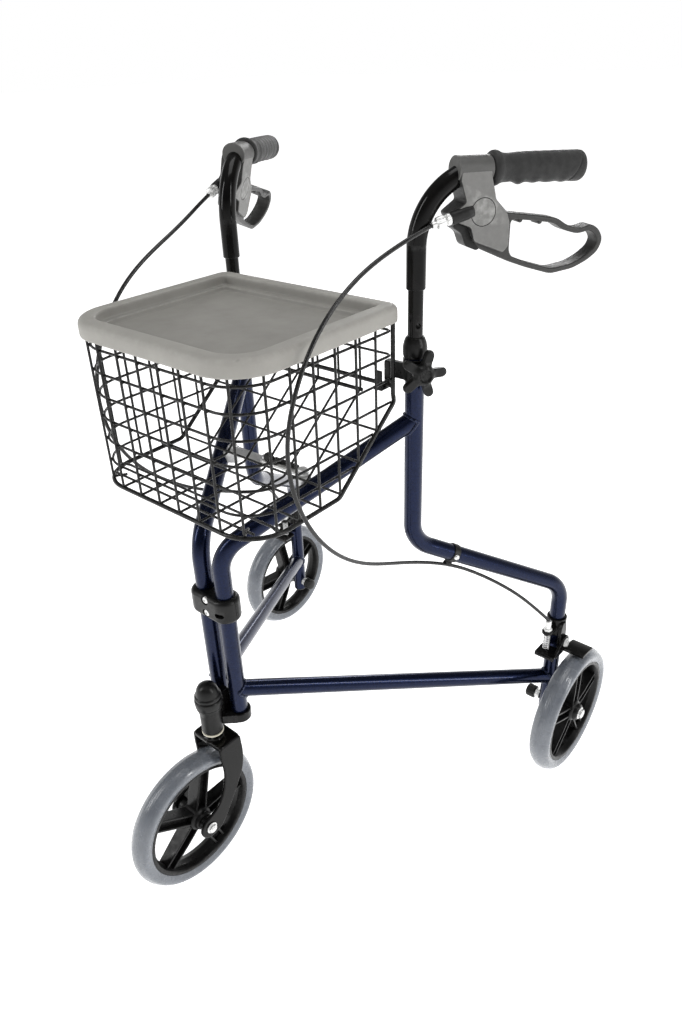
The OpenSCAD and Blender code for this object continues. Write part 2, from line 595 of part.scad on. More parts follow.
// ---------- tray ----------
module rrect(x, y0, y1, rf, rr) {
  union() {
    translate([-x, y0 + rf]) square([2 * x, y1 - rr - y0 - rf]);
    translate([-x + rf, y0]) square([2 * x - 2 * rf, rf + 1]);
    translate([-x + rr, y1 - rr - 1]) square([2 * x - 2 * rr, rr + 1]);
    for (s = [-1, 1]) {
      translate([s * (x - rf), y0 + rf]) circle(rf);
      translate([s * (x - rr), y1 - rr]) circle(rr);
    }
  }
}
module tray() {
  w = tray_w / 2;
  y1 = bk_r + 6; y0 = y1 - tray_l;
  color("#8f8c86") place() difference() {
    translate([0, 0, tray_top - 19]) linear_extrude(19) rrect(w, y0, y1, 54, 16);
    // stepped recess
    translate([0, 0, tray_top - 11]) linear_extrude(20) rrect(w - 21, y0 + 21, y1 - 21, 33, 6);
    translate([0, 0, tray_top - 16]) linear_extrude(20) rrect(w - 30, y0 + 30, y1 - 30, 24, 5);
    // channel under the edge that sits over the basket's rim
    translate([0, 0, tray_top - 30]) linear_extrude(23.5) difference() {
      rrect(w - 3, y0 + 3, y1 - 3, 51, 13);
      rrect(w - 17, y0 + 17, y1 - 17, 37, 6);
    }
  }
}

clamp_front();
clamp_rear();
clamp_screws();
hinge_bracket();
caster_housing();
caster_cap();
caster_bearings();
caster_washer();
caster_fork();
caster_stem();
caster_axle();
caster_rim();
caster_tyre();
basket();
tray();
strut_pivot_bolt();
front_tube(false);  // left_front_tube
main_tube(false);  // left_main_tube
bottom_tube(false);  // left_bottom_tube
collar(false);  // left_collar
knob(false);  // left_knob
hook(false);  // left_hook
strut_bracket(false);  // left_strut_bracket
brake_bracket(false);  // left_brake_bracket
axle(false);  // left_axle
post(false);  // left_post
handle_tube(false);  // left_handle_tube
grip(false);  // left_grip
brake_housing(false);  // left_brake_housing
adjuster(false);  // left_adjuster
lever(false);  // left_lever
lever_pin(false);  // left_lever_pin
brake_arm(false);  // left_brake_arm
brake_spring(false);  // left_brake_spring
cable(false);  // left_cable
strut(false);  // left_strut
rear_rim(false);  // left_rim
rear_tyre(false);  // left_tyre
front_tube(true);  // right_front_tube
main_tube(true);  // right_main_tube
bottom_tube(true);  // right_bottom_tube
collar(true);  // right_collar
knob(true);  // right_knob
hook(true);  // right_hook
strut_bracket(true);  // right_strut_bracket
brake_bracket(true);  // right_brake_bracket
axle(true);  // right_axle
post(true);  // right_post
handle_tube(true);  // right_handle_tube
grip(true);  // right_grip
brake_housing(true);  // right_brake_housing
adjuster(true);  // right_adjuster
lever(true);  // right_lever
lever_pin(true);  // right_lever_pin
brake_arm(true);  // right_brake_arm
brake_spring(true);  // right_brake_spring
cable(true);  // right_cable
strut(true);  // right_strut
rear_rim(true);  // right_rim
rear_tyre(true);  // right_tyre
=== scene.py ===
import math
import bpy
import bmesh
from mathutils import Matrix, Vector, noise
from mathutils.geometry import tessellate_polygon


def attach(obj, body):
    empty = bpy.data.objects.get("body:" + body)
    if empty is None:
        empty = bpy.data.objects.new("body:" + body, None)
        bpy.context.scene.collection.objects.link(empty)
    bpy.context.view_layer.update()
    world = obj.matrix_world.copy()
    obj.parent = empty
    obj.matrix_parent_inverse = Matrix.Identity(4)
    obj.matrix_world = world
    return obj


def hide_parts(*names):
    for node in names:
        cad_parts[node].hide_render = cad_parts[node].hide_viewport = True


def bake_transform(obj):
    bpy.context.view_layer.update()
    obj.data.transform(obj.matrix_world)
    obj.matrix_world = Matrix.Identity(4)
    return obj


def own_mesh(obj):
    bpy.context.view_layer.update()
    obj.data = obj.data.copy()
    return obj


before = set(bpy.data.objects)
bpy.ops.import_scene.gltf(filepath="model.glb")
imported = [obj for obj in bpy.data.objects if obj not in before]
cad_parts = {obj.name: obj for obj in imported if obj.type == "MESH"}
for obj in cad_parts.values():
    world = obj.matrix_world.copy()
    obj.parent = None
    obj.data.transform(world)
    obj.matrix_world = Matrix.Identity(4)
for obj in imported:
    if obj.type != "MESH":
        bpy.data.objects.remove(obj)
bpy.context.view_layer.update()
scene = bpy.context.scene

# ---------------------------------------------------------------- frames of reference
# Sizes below are in millimetres. FIT is the upright frame with +Y to the rear, SIDE is the plane of a
# side frame: s along it from the hinge tube, z up, n outboard.
MM = 0.001
YS = -163.2
HX = 17.5
SN, CS = math.sin(math.radians(31)), math.cos(math.radians(31))


def fit_m(sg=1):
    return Matrix(((sg * MM, 0, 0, 0), (0, MM, 0, YS * MM), (0, 0, MM, 0), (0, 0, 0, 1)))


def side_m(sg):
    return Matrix(((sg * SN * MM, 0, sg * CS * MM, sg * HX * MM), (CS * MM, 0, -SN * MM, YS * MM), (0, MM, 0, 0), (0, 0, 0, 1)))


def T(x, y, z):
    return Matrix.Translation((x, y, z))


def R(deg, axis):
    return Matrix.Rotation(math.radians(deg), 4, axis)


UP = 245.5
H_ANG = math.degrees(math.atan2(875.2 - 883, 429 - 245.5))


def on_h(s):
    return 883 + (s - UP) * (875.2 - 883) / (429 - 245.5)


def grip_m(sg):
    return side_m(sg) @ T(UP, 0, 0) @ R(4 if sg < 0 else 0, 'Y') @ T(-UP, 0, 0)


def brake_m(sg):
    c = (326, on_h(326), 0)
    return grip_m(sg) @ T(*c) @ R(H_ANG, 'Z') @ R(-18 if sg < 0 else 0, 'X') @ R(-H_ANG, 'Z') @ T(-c[0], -c[1], 0)


SIDES = (("left", 1), ("right", -1))
LEG_S = 478.3
WHEEL_Y = LEG_S * CS
LEG_X = HX + LEG_S * SN
REAR_X = 300
STEM_Y = -34.5
LEAD = 49
SWIVEL = fit_m() @ T(0, STEM_Y, 0) @ R(-1, 'Z')


# ---------------------------------------------------------------- mesh building
class Geo:
    def __init__(self):
        self.v = []
        self.f = []

    def put(self, vs, fs, m=None):
        k = len(self.v)
        self.v.extend([(m @ Vector(p)) if m is not None else Vector(p) for p in vs])
        self.f.extend([tuple(k + i for i in f) for f in fs])
        return self


def bend_path(pts, rad, step=5.0):
    """Polyline with its corners rounded to a bend radius."""
    pts = [Vector(p) for p in pts]
    out = [pts[0]]
    for a, b, c in zip(pts, pts[1:], pts[2:]):
        u, w = (a - b).normalized(), (c - b).normalized()
        turn = math.pi - u.angle(w)
        if turn < 0.12:
            out.append(b)
            continue
        d = min(rad * math.tan(turn / 2), 0.48 * (a - b).length, 0.48 * (c - b).length)
        rr = d / math.tan(turn / 2)
        centre = b + (u + w).normalized() * (rr / math.cos(turn / 2))
        r0, r1 = b + u * d - centre, b + w * d - centre
        ax = r0.cross(r1).normalized()
        n = max(3, int(math.degrees(turn) / step))
        for i in range(n + 1):
            out.append(centre + Matrix.Rotation(turn * i / n, 3, ax) @ r0)
    out.append(pts[-1])
    return out


def tube(g, path, r, seg=20, cap=1.0, radii=None, closed=False, m=None):
    """Round bar along a path, with softened ends."""
    path = [Vector(p) for p in path]
    rr = list(radii) if radii else [r] * len(path)
    if not closed:
        for end in (0, -1):
            i = 1 if end == 0 else -2
            t = (path[i] - path[end]).normalized()
            p0, r0 = path[end].copy(), rr[end]
            c = min(cap, r0 * 0.92)
            new = [(p0, r0 - c), (p0 + t * c * 0.13, r0 - c * 0.5), (p0 + t * c * 0.5, r0 - c * 0.13), (p0 + t * c, r0)]
            if end == 0:
                path[0:1] = [q[0] for q in new]
                rr[0:1] = [q[1] for q in new]
            else:
                path[-1:] = [q[0] for q in reversed(new)]
                rr[-1:] = [q[1] for q in reversed(new)]
    n = len(path)
    tan = []
    for i in range(n):
        t = path[(i + 1) % n] - path[i - 1] if closed else path[min(i + 1, n - 1)] - path[max(i - 1, 0)]
        tan.append(t.normalized())
    u = tan[0].orthogonal().normalized()
    vs, fs = [], []
    for i in range(n):
        if i:
            ax = tan[i - 1].cross(tan[i])
            if ax.length > 1e-9:
                u = Matrix.Rotation(tan[i - 1].angle(tan[i]), 3, ax.normalized()) @ u
        u = (u - tan[i] * u.dot(tan[i])).normalized()
        w = tan[i].cross(u)
        for k in range(seg):
            a = 2 * math.pi * k / seg
            vs.append(path[i] + (u * math.cos(a) + w * math.sin(a)) * rr[i])
    for i in range(n if closed else n - 1):
        j = (i + 1) % n
        off = 0
        if closed and j == 0:
            off = min(range(seg), key=lambda o: (vs[i * seg] - vs[o]).length)
        for k in range(seg):
            k2 = (k + 1) % seg
            fs.append((i * seg + k, i * seg + k2, j * seg + (k2 + off) % seg, j * seg + (k + off) % seg))
    if not closed:
        fs.append(tuple(reversed(range(seg))))
        fs.append(tuple((n - 1) * seg + k for k in range(seg)))
    return g.put(vs, fs, m)


def lathe(g, prof, seg=48, m=None, loop=False, mod=None):
    """Turned shape about local Z from (radius, height) points."""
    vs, fs, rows = [], [], []
    for r, h in prof:
        if r < 1e-6:
            rows.append([len(vs)])
            vs.append((0, 0, h))
        else:
            row = []
            for k in range(seg):
                a = 2 * math.pi * k / seg
                q = r + (mod(a, r, h) if mod else 0)
                row.append(len(vs))
                vs.append((q * math.cos(a), q * math.sin(a), h))
            rows.append(row)
    pairs = list(zip(rows, rows[1:])) + ([(rows[-1], rows[0])] if loop else [])
    for A, B in pairs:
        if len(A) == 1 and len(B) == 1:
            continue
        for k in range(seg):
            k2 = (k + 1) % seg
            if len(A) == 1:
                fs.append((A[0], B[k2], B[k]))
            elif len(B) == 1:
                fs.append((A[k], A[k2], B[0]))
            else:
                fs.append((A[k], A[k2], B[k2], B[k]))
    if not loop:
        if len(rows[0]) > 1:
            fs.append(tuple(reversed(rows[0])))
        if len(rows[-1]) > 1:
            fs.append(tuple(rows[-1]))
    return g.put(vs, fs, m)


def rnd(pts, r, closed=True, n=4):
    """Outline with softened corners."""
    pts = [Vector(p) for p in pts]
    out, k = [], len(pts)
    for i in range(k):
        if not closed and i in (0, k - 1):
            out.append(pts[i])
            continue
        a, b, c = pts[i - 1], pts[i], pts[(i + 1) % k]
        d1, d2 = (a - b).length, (c - b).length
        d = min(r, 0.45 * d1, 0.45 * d2)
        p, q = b + (a - b) * (d / d1), b + (c - b) * (d / d2)
        for j in range(n + 1):
            t = j / n
            out.append(p * (1 - t) ** 2 + b * 2 * t * (1 - t) + q * t ** 2)
    return out


def area(o):
    return sum(o[i - 1][0] * o[i][1] - o[i][0] * o[i - 1][1] for i in range(len(o))) / 2


def inset(o, d):
    out = []
    for i in range(len(o)):
        a, b, c = Vector(o[i - 1][:2]), Vector(o[i][:2]), Vector(o[(i + 1) % len(o)][:2])
        e1, e2 = (b - a).normalized(), (c - b).normalized()
        n1, n2 = Vector((-e1.y, e1.x)), Vector((-e2.y, e2.x))
        out.append(b + (n1 + n2) / max(1 + n1.dot(n2), 0.4) * d)
    return out


def rprism(g, outline, h0, h1, f=1.0, holes=(), n=3, m=None):
    """Plate of any outline, with filleted edges and holes."""
    f = min(f, (h1 - h0) * 0.49)
    o = [Vector(p[:2]) for p in outline]
    loops = [o if area(o) > 0 else o[::-1]]
    for h in holes:
        h = [Vector(p[:2]) for p in h]
        loops.append(h if area(h) < 0 else h[::-1])
    lay = []
    for i in range(n + 1):
        a = math.pi / 2 * i / n
        lay.append((f * (1 - math.sin(a)), h0 + f * (1 - math.cos(a))))
    lay += [(d, h0 + h1 - h) for d, h in reversed(lay)]
    vs, fs = [], []
    starts = []
    for lp in loops:
        st = []
        for d, h in lay:
            st.append(len(vs))
            vs.extend([(p.x, p.y, h) for p in inset(lp, d)])
        k = len(lp)
        for A, B in zip(st, st[1:]):
            for i in range(k):
                j = (i + 1) % k
                fs.append((A + i, A + j, B + j, B + i))
        starts.append(st)
    for layer, flip in ((0, True), (len(lay) - 1, False)):
        polys, idx = [], []
        for lp, st in zip(loops, starts):
            ids = [st[layer] + i for i in range(len(lp))]
            polys.append([Vector((vs[q][0], vs[q][1], 0)) for q in ids])
            idx += ids
        for tri in tessellate_polygon(polys):
            q = tuple(idx[i] for i in tri)
            fs.append(q[::-1] if flip else q)
    return g.put(vs, fs, m)


def ngon(r, n=6, rot=0, cx=0, cy=0):
    return [(cx + r * math.cos(math.radians(rot) + 2 * math.pi * i / n), cy + r * math.sin(math.radians(rot) + 2 * math.pi * i / n)) for i in range(n)]


def rect(x0, y0, x1, y1, r=1.0):
    return rnd([(x0, y0), (x1, y0), (x1, y1), (x0, y1)], r * 1.6)


def pill(half, r, n=20):
    out = []
    for cx, a0 in ((half, -90), (-half, 90)):
        for i in range(n + 1):
            a = math.radians(a0 + 180 * i / n)
            out.append((cx + r * math.cos(a), r * math.sin(a)))
    return out


def along(p, q):
    """Matrix that takes local Z along p to q, from p."""
    p, q = Vector(p), Vector(q)
    return Matrix.Translation(p) @ (q - p).to_track_quat('Z', 'Y').to_matrix().to_4x4()


def hexhead(g, r, h0, h1, m, rot=0):
    """Hexagon head with a chamfered, slightly domed face."""
    vs, fs = [], []
    rings = ((r * 0.94, h0), (r, h0 + 0.3), (r, h1 - (h1 - h0) * 0.22), (r * 0.86, h1 - 0.1), (r * 0.5, h1))
    for q, h in rings:
        for k in range(24):
            a = math.radians(rot) + 2 * math.pi * k / 24
            flat = math.cos(math.pi / 6) / math.cos((k % 4) * math.pi / 12 - math.pi / 6)
            w = q if q <= r * 0.86 else q * flat
            vs.append((w * math.cos(a), w * math.sin(a), h))
    for i in range(len(rings) - 1):
        for k in range(24):
            j = (k + 1) % 24
            fs.append((i * 24 + k, i * 24 + j, (i + 1) * 24 + j, (i + 1) * 24 + k))
    fs.append(tuple(reversed(range(24))))
    fs.append(tuple((len(rings) - 1) * 24 + k for k in range(24)))
    return g.put(vs, fs, m)


def saddle(a0, a, ra, b0, b, rb, n=80, grow=0.7):
    """Curve where bar B, walked along b, first meets bar A."""
    a, b = a.normalized(), b.normalized()
    u = b.orthogonal().normalized()
    w = b.cross(u)
    out = []
    for k in range(n):
        th = 2 * math.pi * k / n
        q = b0 + (u * math.cos(th) + w * math.sin(th)) * (rb + grow) - a0
        qp, bp = q - a * q.dot(a), b - a * b.dot(a)
        A, B, C = bp.dot(bp), qp.dot(bp), qp.dot(qp) - (ra + grow) ** 2
        t = (-B - math.sqrt(max(B * B - A * C, 0))) / A
        out.append(q + a0 + b * t)
    return out


def spline(pts, sub=6):
    """Smooth curve through points."""
    P = [Vector(p) for p in pts]
    out = []
    for i in range(len(P) - 1):
        p0, p1, p2, p3 = P[max(i - 1, 0)], P[i], P[i + 1], P[min(i + 2, len(P) - 1)]
        for k in range(sub):
            t = k / sub
            out.append(0.5 * ((2 * p1) + (p2 - p0) * t + (2 * p0 - 5 * p1 + 4 * p2 - p3) * t * t + (3 * p1 - p0 - 3 * p2 + p3) * t ** 3))
    out.append(P[-1])
    return out


def smooth(t):
    t = max(0.0, min(1.0, t))
    return t * t * (3 - 2 * t)


COL = scene.collection


def to_mesh(name, g, m):
    me = bpy.data.meshes.new(name)
    me.from_pydata([m @ p for p in g.v], [], g.f)
    bm = bmesh.new()
    bm.from_mesh(me)
    bmesh.ops.remove_doubles(bm, verts=bm.verts, dist=1e-7)
    bmesh.ops.recalc_face_normals(bm, faces=bm.faces)
    bm.to_mesh(me)
    bm.free()
    return me


def wear_attribute(me):
    """How far each vertex lies on an outer edge, for wear in the materials."""
    bm = bmesh.new()
    bm.from_mesh(me)
    vals = []
    for v in bm.verts:
        best = 0.0
        for e in v.link_edges:
            if len(e.link_faces) == 2:
                best = max(best, e.calc_face_angle_signed(0.0))
        vals.append(smooth((best - 0.10) / 0.45))
    bm.free()
    at = me.attributes.new("wear", 'FLOAT', 'POINT')
    at.data.foreach_set("value", vals)


def make(name, g, m, mat, body, nodes=(), sharp=38, weighted=True, cut=(), free=False):
    """One finished piece: mesh, optional cut-outs, shading, material, and the body that it rides on."""
    obj = bpy.data.objects.new(name, to_mesh(name, g, m))
    COL.objects.link(obj)
    cutters = []
    for i, c in enumerate(cut):
        co = bpy.data.objects.new(name + "_cut%d" % i, to_mesh(name + "_cut%d" % i, c, m))
        COL.objects.link(co)
        md = obj.modifiers.new("cut%d" % i, 'BOOLEAN')
        md.operation, md.solver, md.object = 'DIFFERENCE', 'EXACT', co
        cutters.append(co)
    if cutters:
        bpy.context.view_layer.update()
        dg = bpy.context.evaluated_depsgraph_get()
        me = bpy.data.meshes.new_from_object(obj.evaluated_get(dg))
        obj.modifiers.clear()
        obj.data = me
        for co in cutters:
            bpy.data.objects.remove(co, do_unlink=True)
    me = obj.data
    me.materials.clear()
    me.materials.append(mat)
    me.shade_smooth()
    me.set_sharp_from_angle(angle=math.radians(sharp))
    wear_attribute(me)
    if weighted:
        md = obj.modifiers.new("weighted", 'WEIGHTED_NORMAL')
        md.keep_sharp = True
        md.weight = 70
    if not free:
        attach(obj, body)
    if nodes:
        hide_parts(*nodes)
    return obj


# ---------------------------------------------------------------- materials
def material(name, lo, hi, rough, rough_var=0.06, metal=0.0, coat=0.0, coat_rough=0.05, spec=0.5, blotch=45.0,
             grain=900.0, grain_h=0.00006, wave=0.0, wave_scale=120.0, edge=None, edge_amt=0.35, sheen=0.0, sss=0.0, streak=None, painted_light_gain=0.0):
    mat = bpy.data.materials.new(name)
    mat.use_nodes = True
    nt = mat.node_tree
    N, Lk = nt.nodes, nt.links
    N.clear()
    out = N.new('ShaderNodeOutputMaterial')
    bs = N.new('ShaderNodeBsdfPrincipled')
    Lk.new(bs.outputs['BSDF'], out.inputs['Surface'])
    bs.inputs['Metallic'].default_value = metal
    bs.inputs['Coat Weight'].default_value = coat
    bs.inputs['Coat Roughness'].default_value = coat_rough
    bs.inputs['Specular IOR Level'].default_value = spec
    bs.inputs['Sheen Weight'].default_value = sheen
    if sss:
        bs.inputs['Subsurface Weight'].default_value = sss
        bs.inputs['Subsurface Radius'].default_value = (0.006, 0.007, 0.009)
        bs.inputs['Subsurface Scale'].default_value = 1.0
    tc = N.new('ShaderNodeTexCoord')
    src = tc.outputs['Object']
    if streak:
        mp = N.new('ShaderNodeMapping')
        mp.inputs['Scale'].default_value = streak
        Lk.new(src, mp.inputs['Vector'])
        src = mp.outputs['Vector']
    # colour: broad variation and fine mottling
    n1 = N.new('ShaderNodeTexNoise')
    n1.inputs['Scale'].default_value = blotch
    n1.inputs['Detail'].default_value = 6.0
    n1.inputs['Roughness'].default_value = 0.62
    Lk.new(src, n1.inputs['Vector'])
    cr = N.new('ShaderNodeValToRGB')
    cr.color_ramp.elements[0].position = 0.28
    cr.color_ramp.elements[0].color = (*lo, 1)
    cr.color_ramp.elements[1].position = 0.74
    cr.color_ramp.elements[1].color = (*hi, 1)
    Lk.new(n1.outputs['Fac'], cr.inputs['Fac'])
    col = cr.outputs['Color']
    if edge:
        at = N.new('ShaderNodeAttribute')
        at.attribute_name = "wear"
        n2 = N.new('ShaderNodeTexNoise')
        n2.inputs['Scale'].default_value = 160.0
        n2.inputs['Detail'].default_value = 4.0
        Lk.new(tc.outputs['Object'], n2.inputs['Vector'])
        mr = N.new('ShaderNodeMapRange')
        mr.inputs['From Min'].default_value = 0.42
        mr.inputs['From Max'].default_value = 0.88
        mr.inputs['To Min'].default_value = 0.12
        mr.inputs['To Max'].default_value = 1.0
        Lk.new(n2.outputs['Fac'], mr.inputs['Value'])
        mu = N.new('ShaderNodeMath')
        mu.operation = 'MULTIPLY'
        Lk.new(at.outputs['Fac'], mu.inputs[0])
        Lk.new(mr.outputs['Result'], mu.inputs[1])
        mu2 = N.new('ShaderNodeMath')
        mu2.operation = 'MULTIPLY'
        mu2.inputs[1].default_value = edge_amt
        Lk.new(mu.outputs[0], mu2.inputs[0])
        mx = N.new('ShaderNodeMix')
        mx.data_type = 'RGBA'
        for s in mx.inputs:
            if s.name == 'B' and s.type == 'RGBA':
                s.default_value = (*edge, 1)
        Lk.new(mu2.outputs[0], mx.inputs['Factor'])
        Lk.new(col, [s for s in mx.inputs if s.name == 'A' and s.type == 'RGBA'][0])
        col = [s for s in mx.outputs if s.type == 'RGBA'][0]
    # painted light: a per-vertex attribute scales the base colour's value, paler for a painted highlight and darker for
    # a painted shade
    if painted_light_gain:
        sa = N.new('ShaderNodeAttribute')
        sa.attribute_name = "painted_light"
        sm = N.new('ShaderNodeMapRange')
        sm.inputs['To Min'].default_value = 1.0
        sm.inputs['To Max'].default_value = painted_light_gain
        Lk.new(sa.outputs['Fac'], sm.inputs['Value'])
        hs = N.new('ShaderNodeHueSaturation')
        Lk.new(sm.outputs['Result'], hs.inputs['Value'])
        Lk.new(col, hs.inputs['Color'])
        col = hs.outputs['Color']
    Lk.new(col, bs.inputs['Base Color'])
    # roughness
    n3 = N.new('ShaderNodeTexNoise')
    n3.inputs['Scale'].default_value = blotch * 2.3
    n3.inputs['Detail'].default_value = 5.0
    Lk.new(src, n3.inputs['Vector'])
    rr = N.new('ShaderNodeMapRange')
    rr.inputs['From Min'].default_value = 0.3
    rr.inputs['From Max'].default_value = 0.7
    rr.inputs['To Min'].default_value = max(rough - rough_var, 0.02)
    rr.inputs['To Max'].default_value = min(rough + rough_var, 1.0)
    Lk.new(n3.outputs['Fac'], rr.inputs['Value'])
    Lk.new(rr.outputs['Result'], bs.inputs['Roughness'])
    # relief: fine grain over a slight unevenness
    n4 = N.new('ShaderNodeTexNoise')
    n4.inputs['Scale'].default_value = grain
    n4.inputs['Detail'].default_value = 3.0
    Lk.new(src, n4.inputs['Vector'])
    b1 = N.new('ShaderNodeBump')
    b1.inputs['Strength'].default_value = 1.0
    b1.inputs['Distance'].default_value = grain_h
    Lk.new(n4.outputs['Fac'], b1.inputs['Height'])
    if wave:
        n5 = N.new('ShaderNodeTexNoise')
        n5.inputs['Scale'].default_value = wave_scale
        n5.inputs['Detail'].default_value = 2.0
        Lk.new(src, n5.inputs['Vector'])
        b2 = N.new('ShaderNodeBump')
        b2.inputs['Strength'].default_value = 1.0
        b2.inputs['Distance'].default_value = wave
        Lk.new(n5.outputs['Fac'], b2.inputs['Height'])
        Lk.new(b2.outputs['Normal'], b1.inputs['Normal'])
    Lk.new(b1.outputs['Normal'], bs.inputs['Normal'])
    return mat


M_BLUE = material("paint_navy", (0.0026, 0.0058, 0.023), (0.0056, 0.0118, 0.044), 0.26, 0.05, metal=0.80, coat=0.20, coat_rough=0.03, spec=0.30, blotch=300,
                  grain=1400, grain_h=0.00001, wave=0.00003, wave_scale=150, edge=(0.08, 0.10, 0.16), edge_amt=0.25)
M_GLOSS = material("paint_black", (0.002, 0.002, 0.002), (0.005, 0.0046, 0.0042), 0.13, 0.04, spec=0.17, blotch=60,
                   grain=1200, grain_h=0.00001, wave=0.00003, wave_scale=140, edge=(0.10, 0.10, 0.10), edge_amt=0.30)
M_WIRE = material("wire_black", (0.002, 0.002, 0.002), (0.006, 0.006, 0.006), 0.28, 0.06, spec=0.25, blotch=90,
                  grain=900, grain_h=0.00003, wave=0.00006, wave_scale=320, edge=(0.16, 0.16, 0.16), edge_amt=0.25)
M_SATIN = material("plastic_black", (0.004, 0.004, 0.004), (0.009, 0.009, 0.0085), 0.33, 0.07, spec=0.24, blotch=70,
                   grain=1500, grain_h=0.00004, wave=0.00004, wave_scale=90, edge=(0.07, 0.07, 0.07), edge_amt=0.45)
M_WHEEL = material("wheel_plastic", (0.003, 0.003, 0.003), (0.007, 0.007, 0.007), 0.32, 0.08, spec=0.20, blotch=55,
                   grain=1200, grain_h=0.00004, wave=0.00006, wave_scale=80, edge=(0.07, 0.07, 0.07), edge_amt=0.5)
# the colour gain on this plastic is a painted highlight on the brake housing's flat sides and strap
M_GREY = material("plastic_grey", (0.030, 0.0298, 0.0288), (0.036, 0.0356, 0.0344), 0.45, 0.06, spec=0.32, blotch=120,
                  grain=1700, grain_h=0.00009, wave=0.00003, wave_scale=60, edge=(0.15, 0.15, 0.145), edge_amt=0.4, painted_light_gain=4.8)
M_DARK = material("plastic_dark", (0.006, 0.006, 0.006), (0.013, 0.013, 0.0125), 0.40, 0.08, spec=0.22, blotch=100,
                  grain=1700, grain_h=0.00008, edge=(0.12, 0.12, 0.12), edge_amt=0.4)
M_RUBBER = material("grip_rubber", (0.009, 0.009, 0.009), (0.020, 0.020, 0.0195), 0.62, 0.08, spec=0.3, blotch=90,
                    grain=1100, grain_h=0.00016, wave=0.00010, wave_scale=140, edge=(0.10, 0.10, 0.10), edge_amt=0.35, sheen=0.15)
M_TYRE = material("tyre_grey", (0.128, 0.141, 0.162), (0.186, 0.200, 0.224), 0.26, 0.08, coat=0.30, coat_rough=0.08, blotch=38,
                  grain=700, grain_h=0.00004, wave=0.00012, wave_scale=70, edge=(0.34, 0.36, 0.39), edge_amt=0.30, sss=0.15)
M_ZINC = material("zinc", (0.60, 0.60, 0.60), (0.82, 0.82, 0.82), 0.36, 0.10, metal=0.65, blotch=150,
                  grain=900, grain_h=0.00003, wave=0.00003, wave_scale=240, edge=(0.90, 0.90, 0.90), edge_amt=0.5)
M_BARE = material("zinc_bright", (0.72, 0.72, 0.71), (0.92, 0.92, 0.91), 0.34, 0.10, metal=0.55, blotch=200,
                  grain=900, grain_h=0.00003, edge=(0.95, 0.95, 0.95), edge_amt=0.5)
# the colour gain on this grey is a painted shade in the tray's recess
M_TRAY = material("tray_grey", (0.292, 0.283, 0.261), (0.348, 0.339, 0.313), 0.56, 0.05, spec=0.4, blotch=26,
                  grain=1500, grain_h=0.00005, wave=0.00004, wave_scale=45, edge=(0.52, 0.51, 0.475), edge_amt=0.45, painted_light_gain=0.82)
M_CABLE = material("cable_black", (0.003, 0.003, 0.003), (0.008, 0.008, 0.008), 0.26, 0.06, spec=0.4, blotch=160,
                   grain=1000, grain_h=0.00003, wave=0.00005, wave_scale=260, edge=(0.06, 0.06, 0.06), edge_amt=0.3)
M_IVORY = material("washer_ivory", (0.62, 0.58, 0.46), (0.78, 0.74, 0.62), 0.45, 0.08, blotch=180,
                   grain=900, grain_h=0.00004, edge=(0.85, 0.82, 0.72), edge_amt=0.4)
M_WELD = material("weld_navy", (0.0026, 0.0058, 0.023), (0.0060, 0.0125, 0.046), 0.28, 0.08, metal=0.80, coat=0.20, coat_rough=0.08, blotch=220,
                  grain=700, grain_h=0.00006, wave=0.00016, wave_scale=420, edge=(0.10, 0.12, 0.18), edge_amt=0.4)

# CAD nodes that stay as they are
for node, mat in (("caster_bearings", M_ZINC), ("caster_stem", M_ZINC), ("left_lever_pin", M_ZINC), ("right_lever_pin", M_ZINC)):
    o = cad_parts[node]
    if len(o.material_slots):
        for sl in o.material_slots:
            sl.material = mat
    else:
        o.data.materials.append(mat)

# ---------------------------------------------------------------- camera
CAM_R = Vector((0.7641376, 0.6441506, -0.0341130))
CAM_U = Vector((-0.3024094, 0.4044487, 0.8631163))
CAM_B = Vector((0.5697738, -0.6492236, 0.5038517))
cam = bpy.data.objects.new("camera", bpy.data.cameras.new("camera"))
COL.objects.link(cam)
cam.matrix_world = Matrix(((CAM_R.x, CAM_U.x, CAM_B.x, 0.638676), (CAM_R.y, CAM_U.y, CAM_B.y, -0.489052 + YS * MM),
                           (CAM_R.z, CAM_U.z, CAM_B.z, 0.989731), (0, 0, 0, 1)))
cam.data.sensor_fit = 'VERTICAL'
cam.data.sensor_height = 36
cam.data.lens = 27.854
cam.data.clip_start, cam.data.clip_end = 0.01, 200
scene.camera = cam

# ---------------------------------------------------------------- brake cables
CABLE = [(160, 213, 831.2), (157, 199, 827.5), (154, 182, 823), (151, 161, 817), (150, 135.5, 811), (149, 111, 803), (149.5, 87.5, 792.5),
         (150, 64, 779), (150.5, 45.5, 764.5), (151, 29.5, 749), (151.5, 15, 729), (152, 3, 708), (152.5, -5.5, 689), (153, -11, 669),
         (154, -13, 647), (155.5, -11.5, 624), (157.5, -6.5, 601), (159.5, 2.5, 575), (161, 17, 549), (162, 37, 524), (160, 63, 500),
         (156, 93, 477), (153, 125, 459), (152, 158, 443), (153, 190, 429), (157, 220, 414), (164, 243, 403), (175, 259, 396.5),
         (187, 274, 387), (199, 290, 374), (212, 308, 358.5), (226, 327, 340), (236, 341, 325), (245, 355, 307), (253, 367, 290),
         (260, 377, 278), (263.8, 383, 268.4)]
CABLE_TOP_R = [(173.5, 207.5, 837.5), (168, 194, 834), (162, 177.5, 829), (156, 157.5, 822), (150.5, 137, 812.5)]
for side, sg in SIDES:
    pts = CABLE if sg > 0 else CABLE_TOP_R + CABLE[5:]
    g = Geo()
    cur = spline(pts, 6)
    for _ in range(90):
        cur = [cur[0]] + [(a + 2 * b + c) / 4 for a, b, c in zip(cur, cur[1:], cur[2:])] + [cur[-1]]
    tube(g, cur, 2.3, seg=14, cap=0.5)
    ob = make("vis_%s_cable" % side, g, fit_m(sg), M_CABLE, None, ["%s_cable" % side], weighted=False, free=True)
    x = sg * 0.152
    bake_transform(ob)

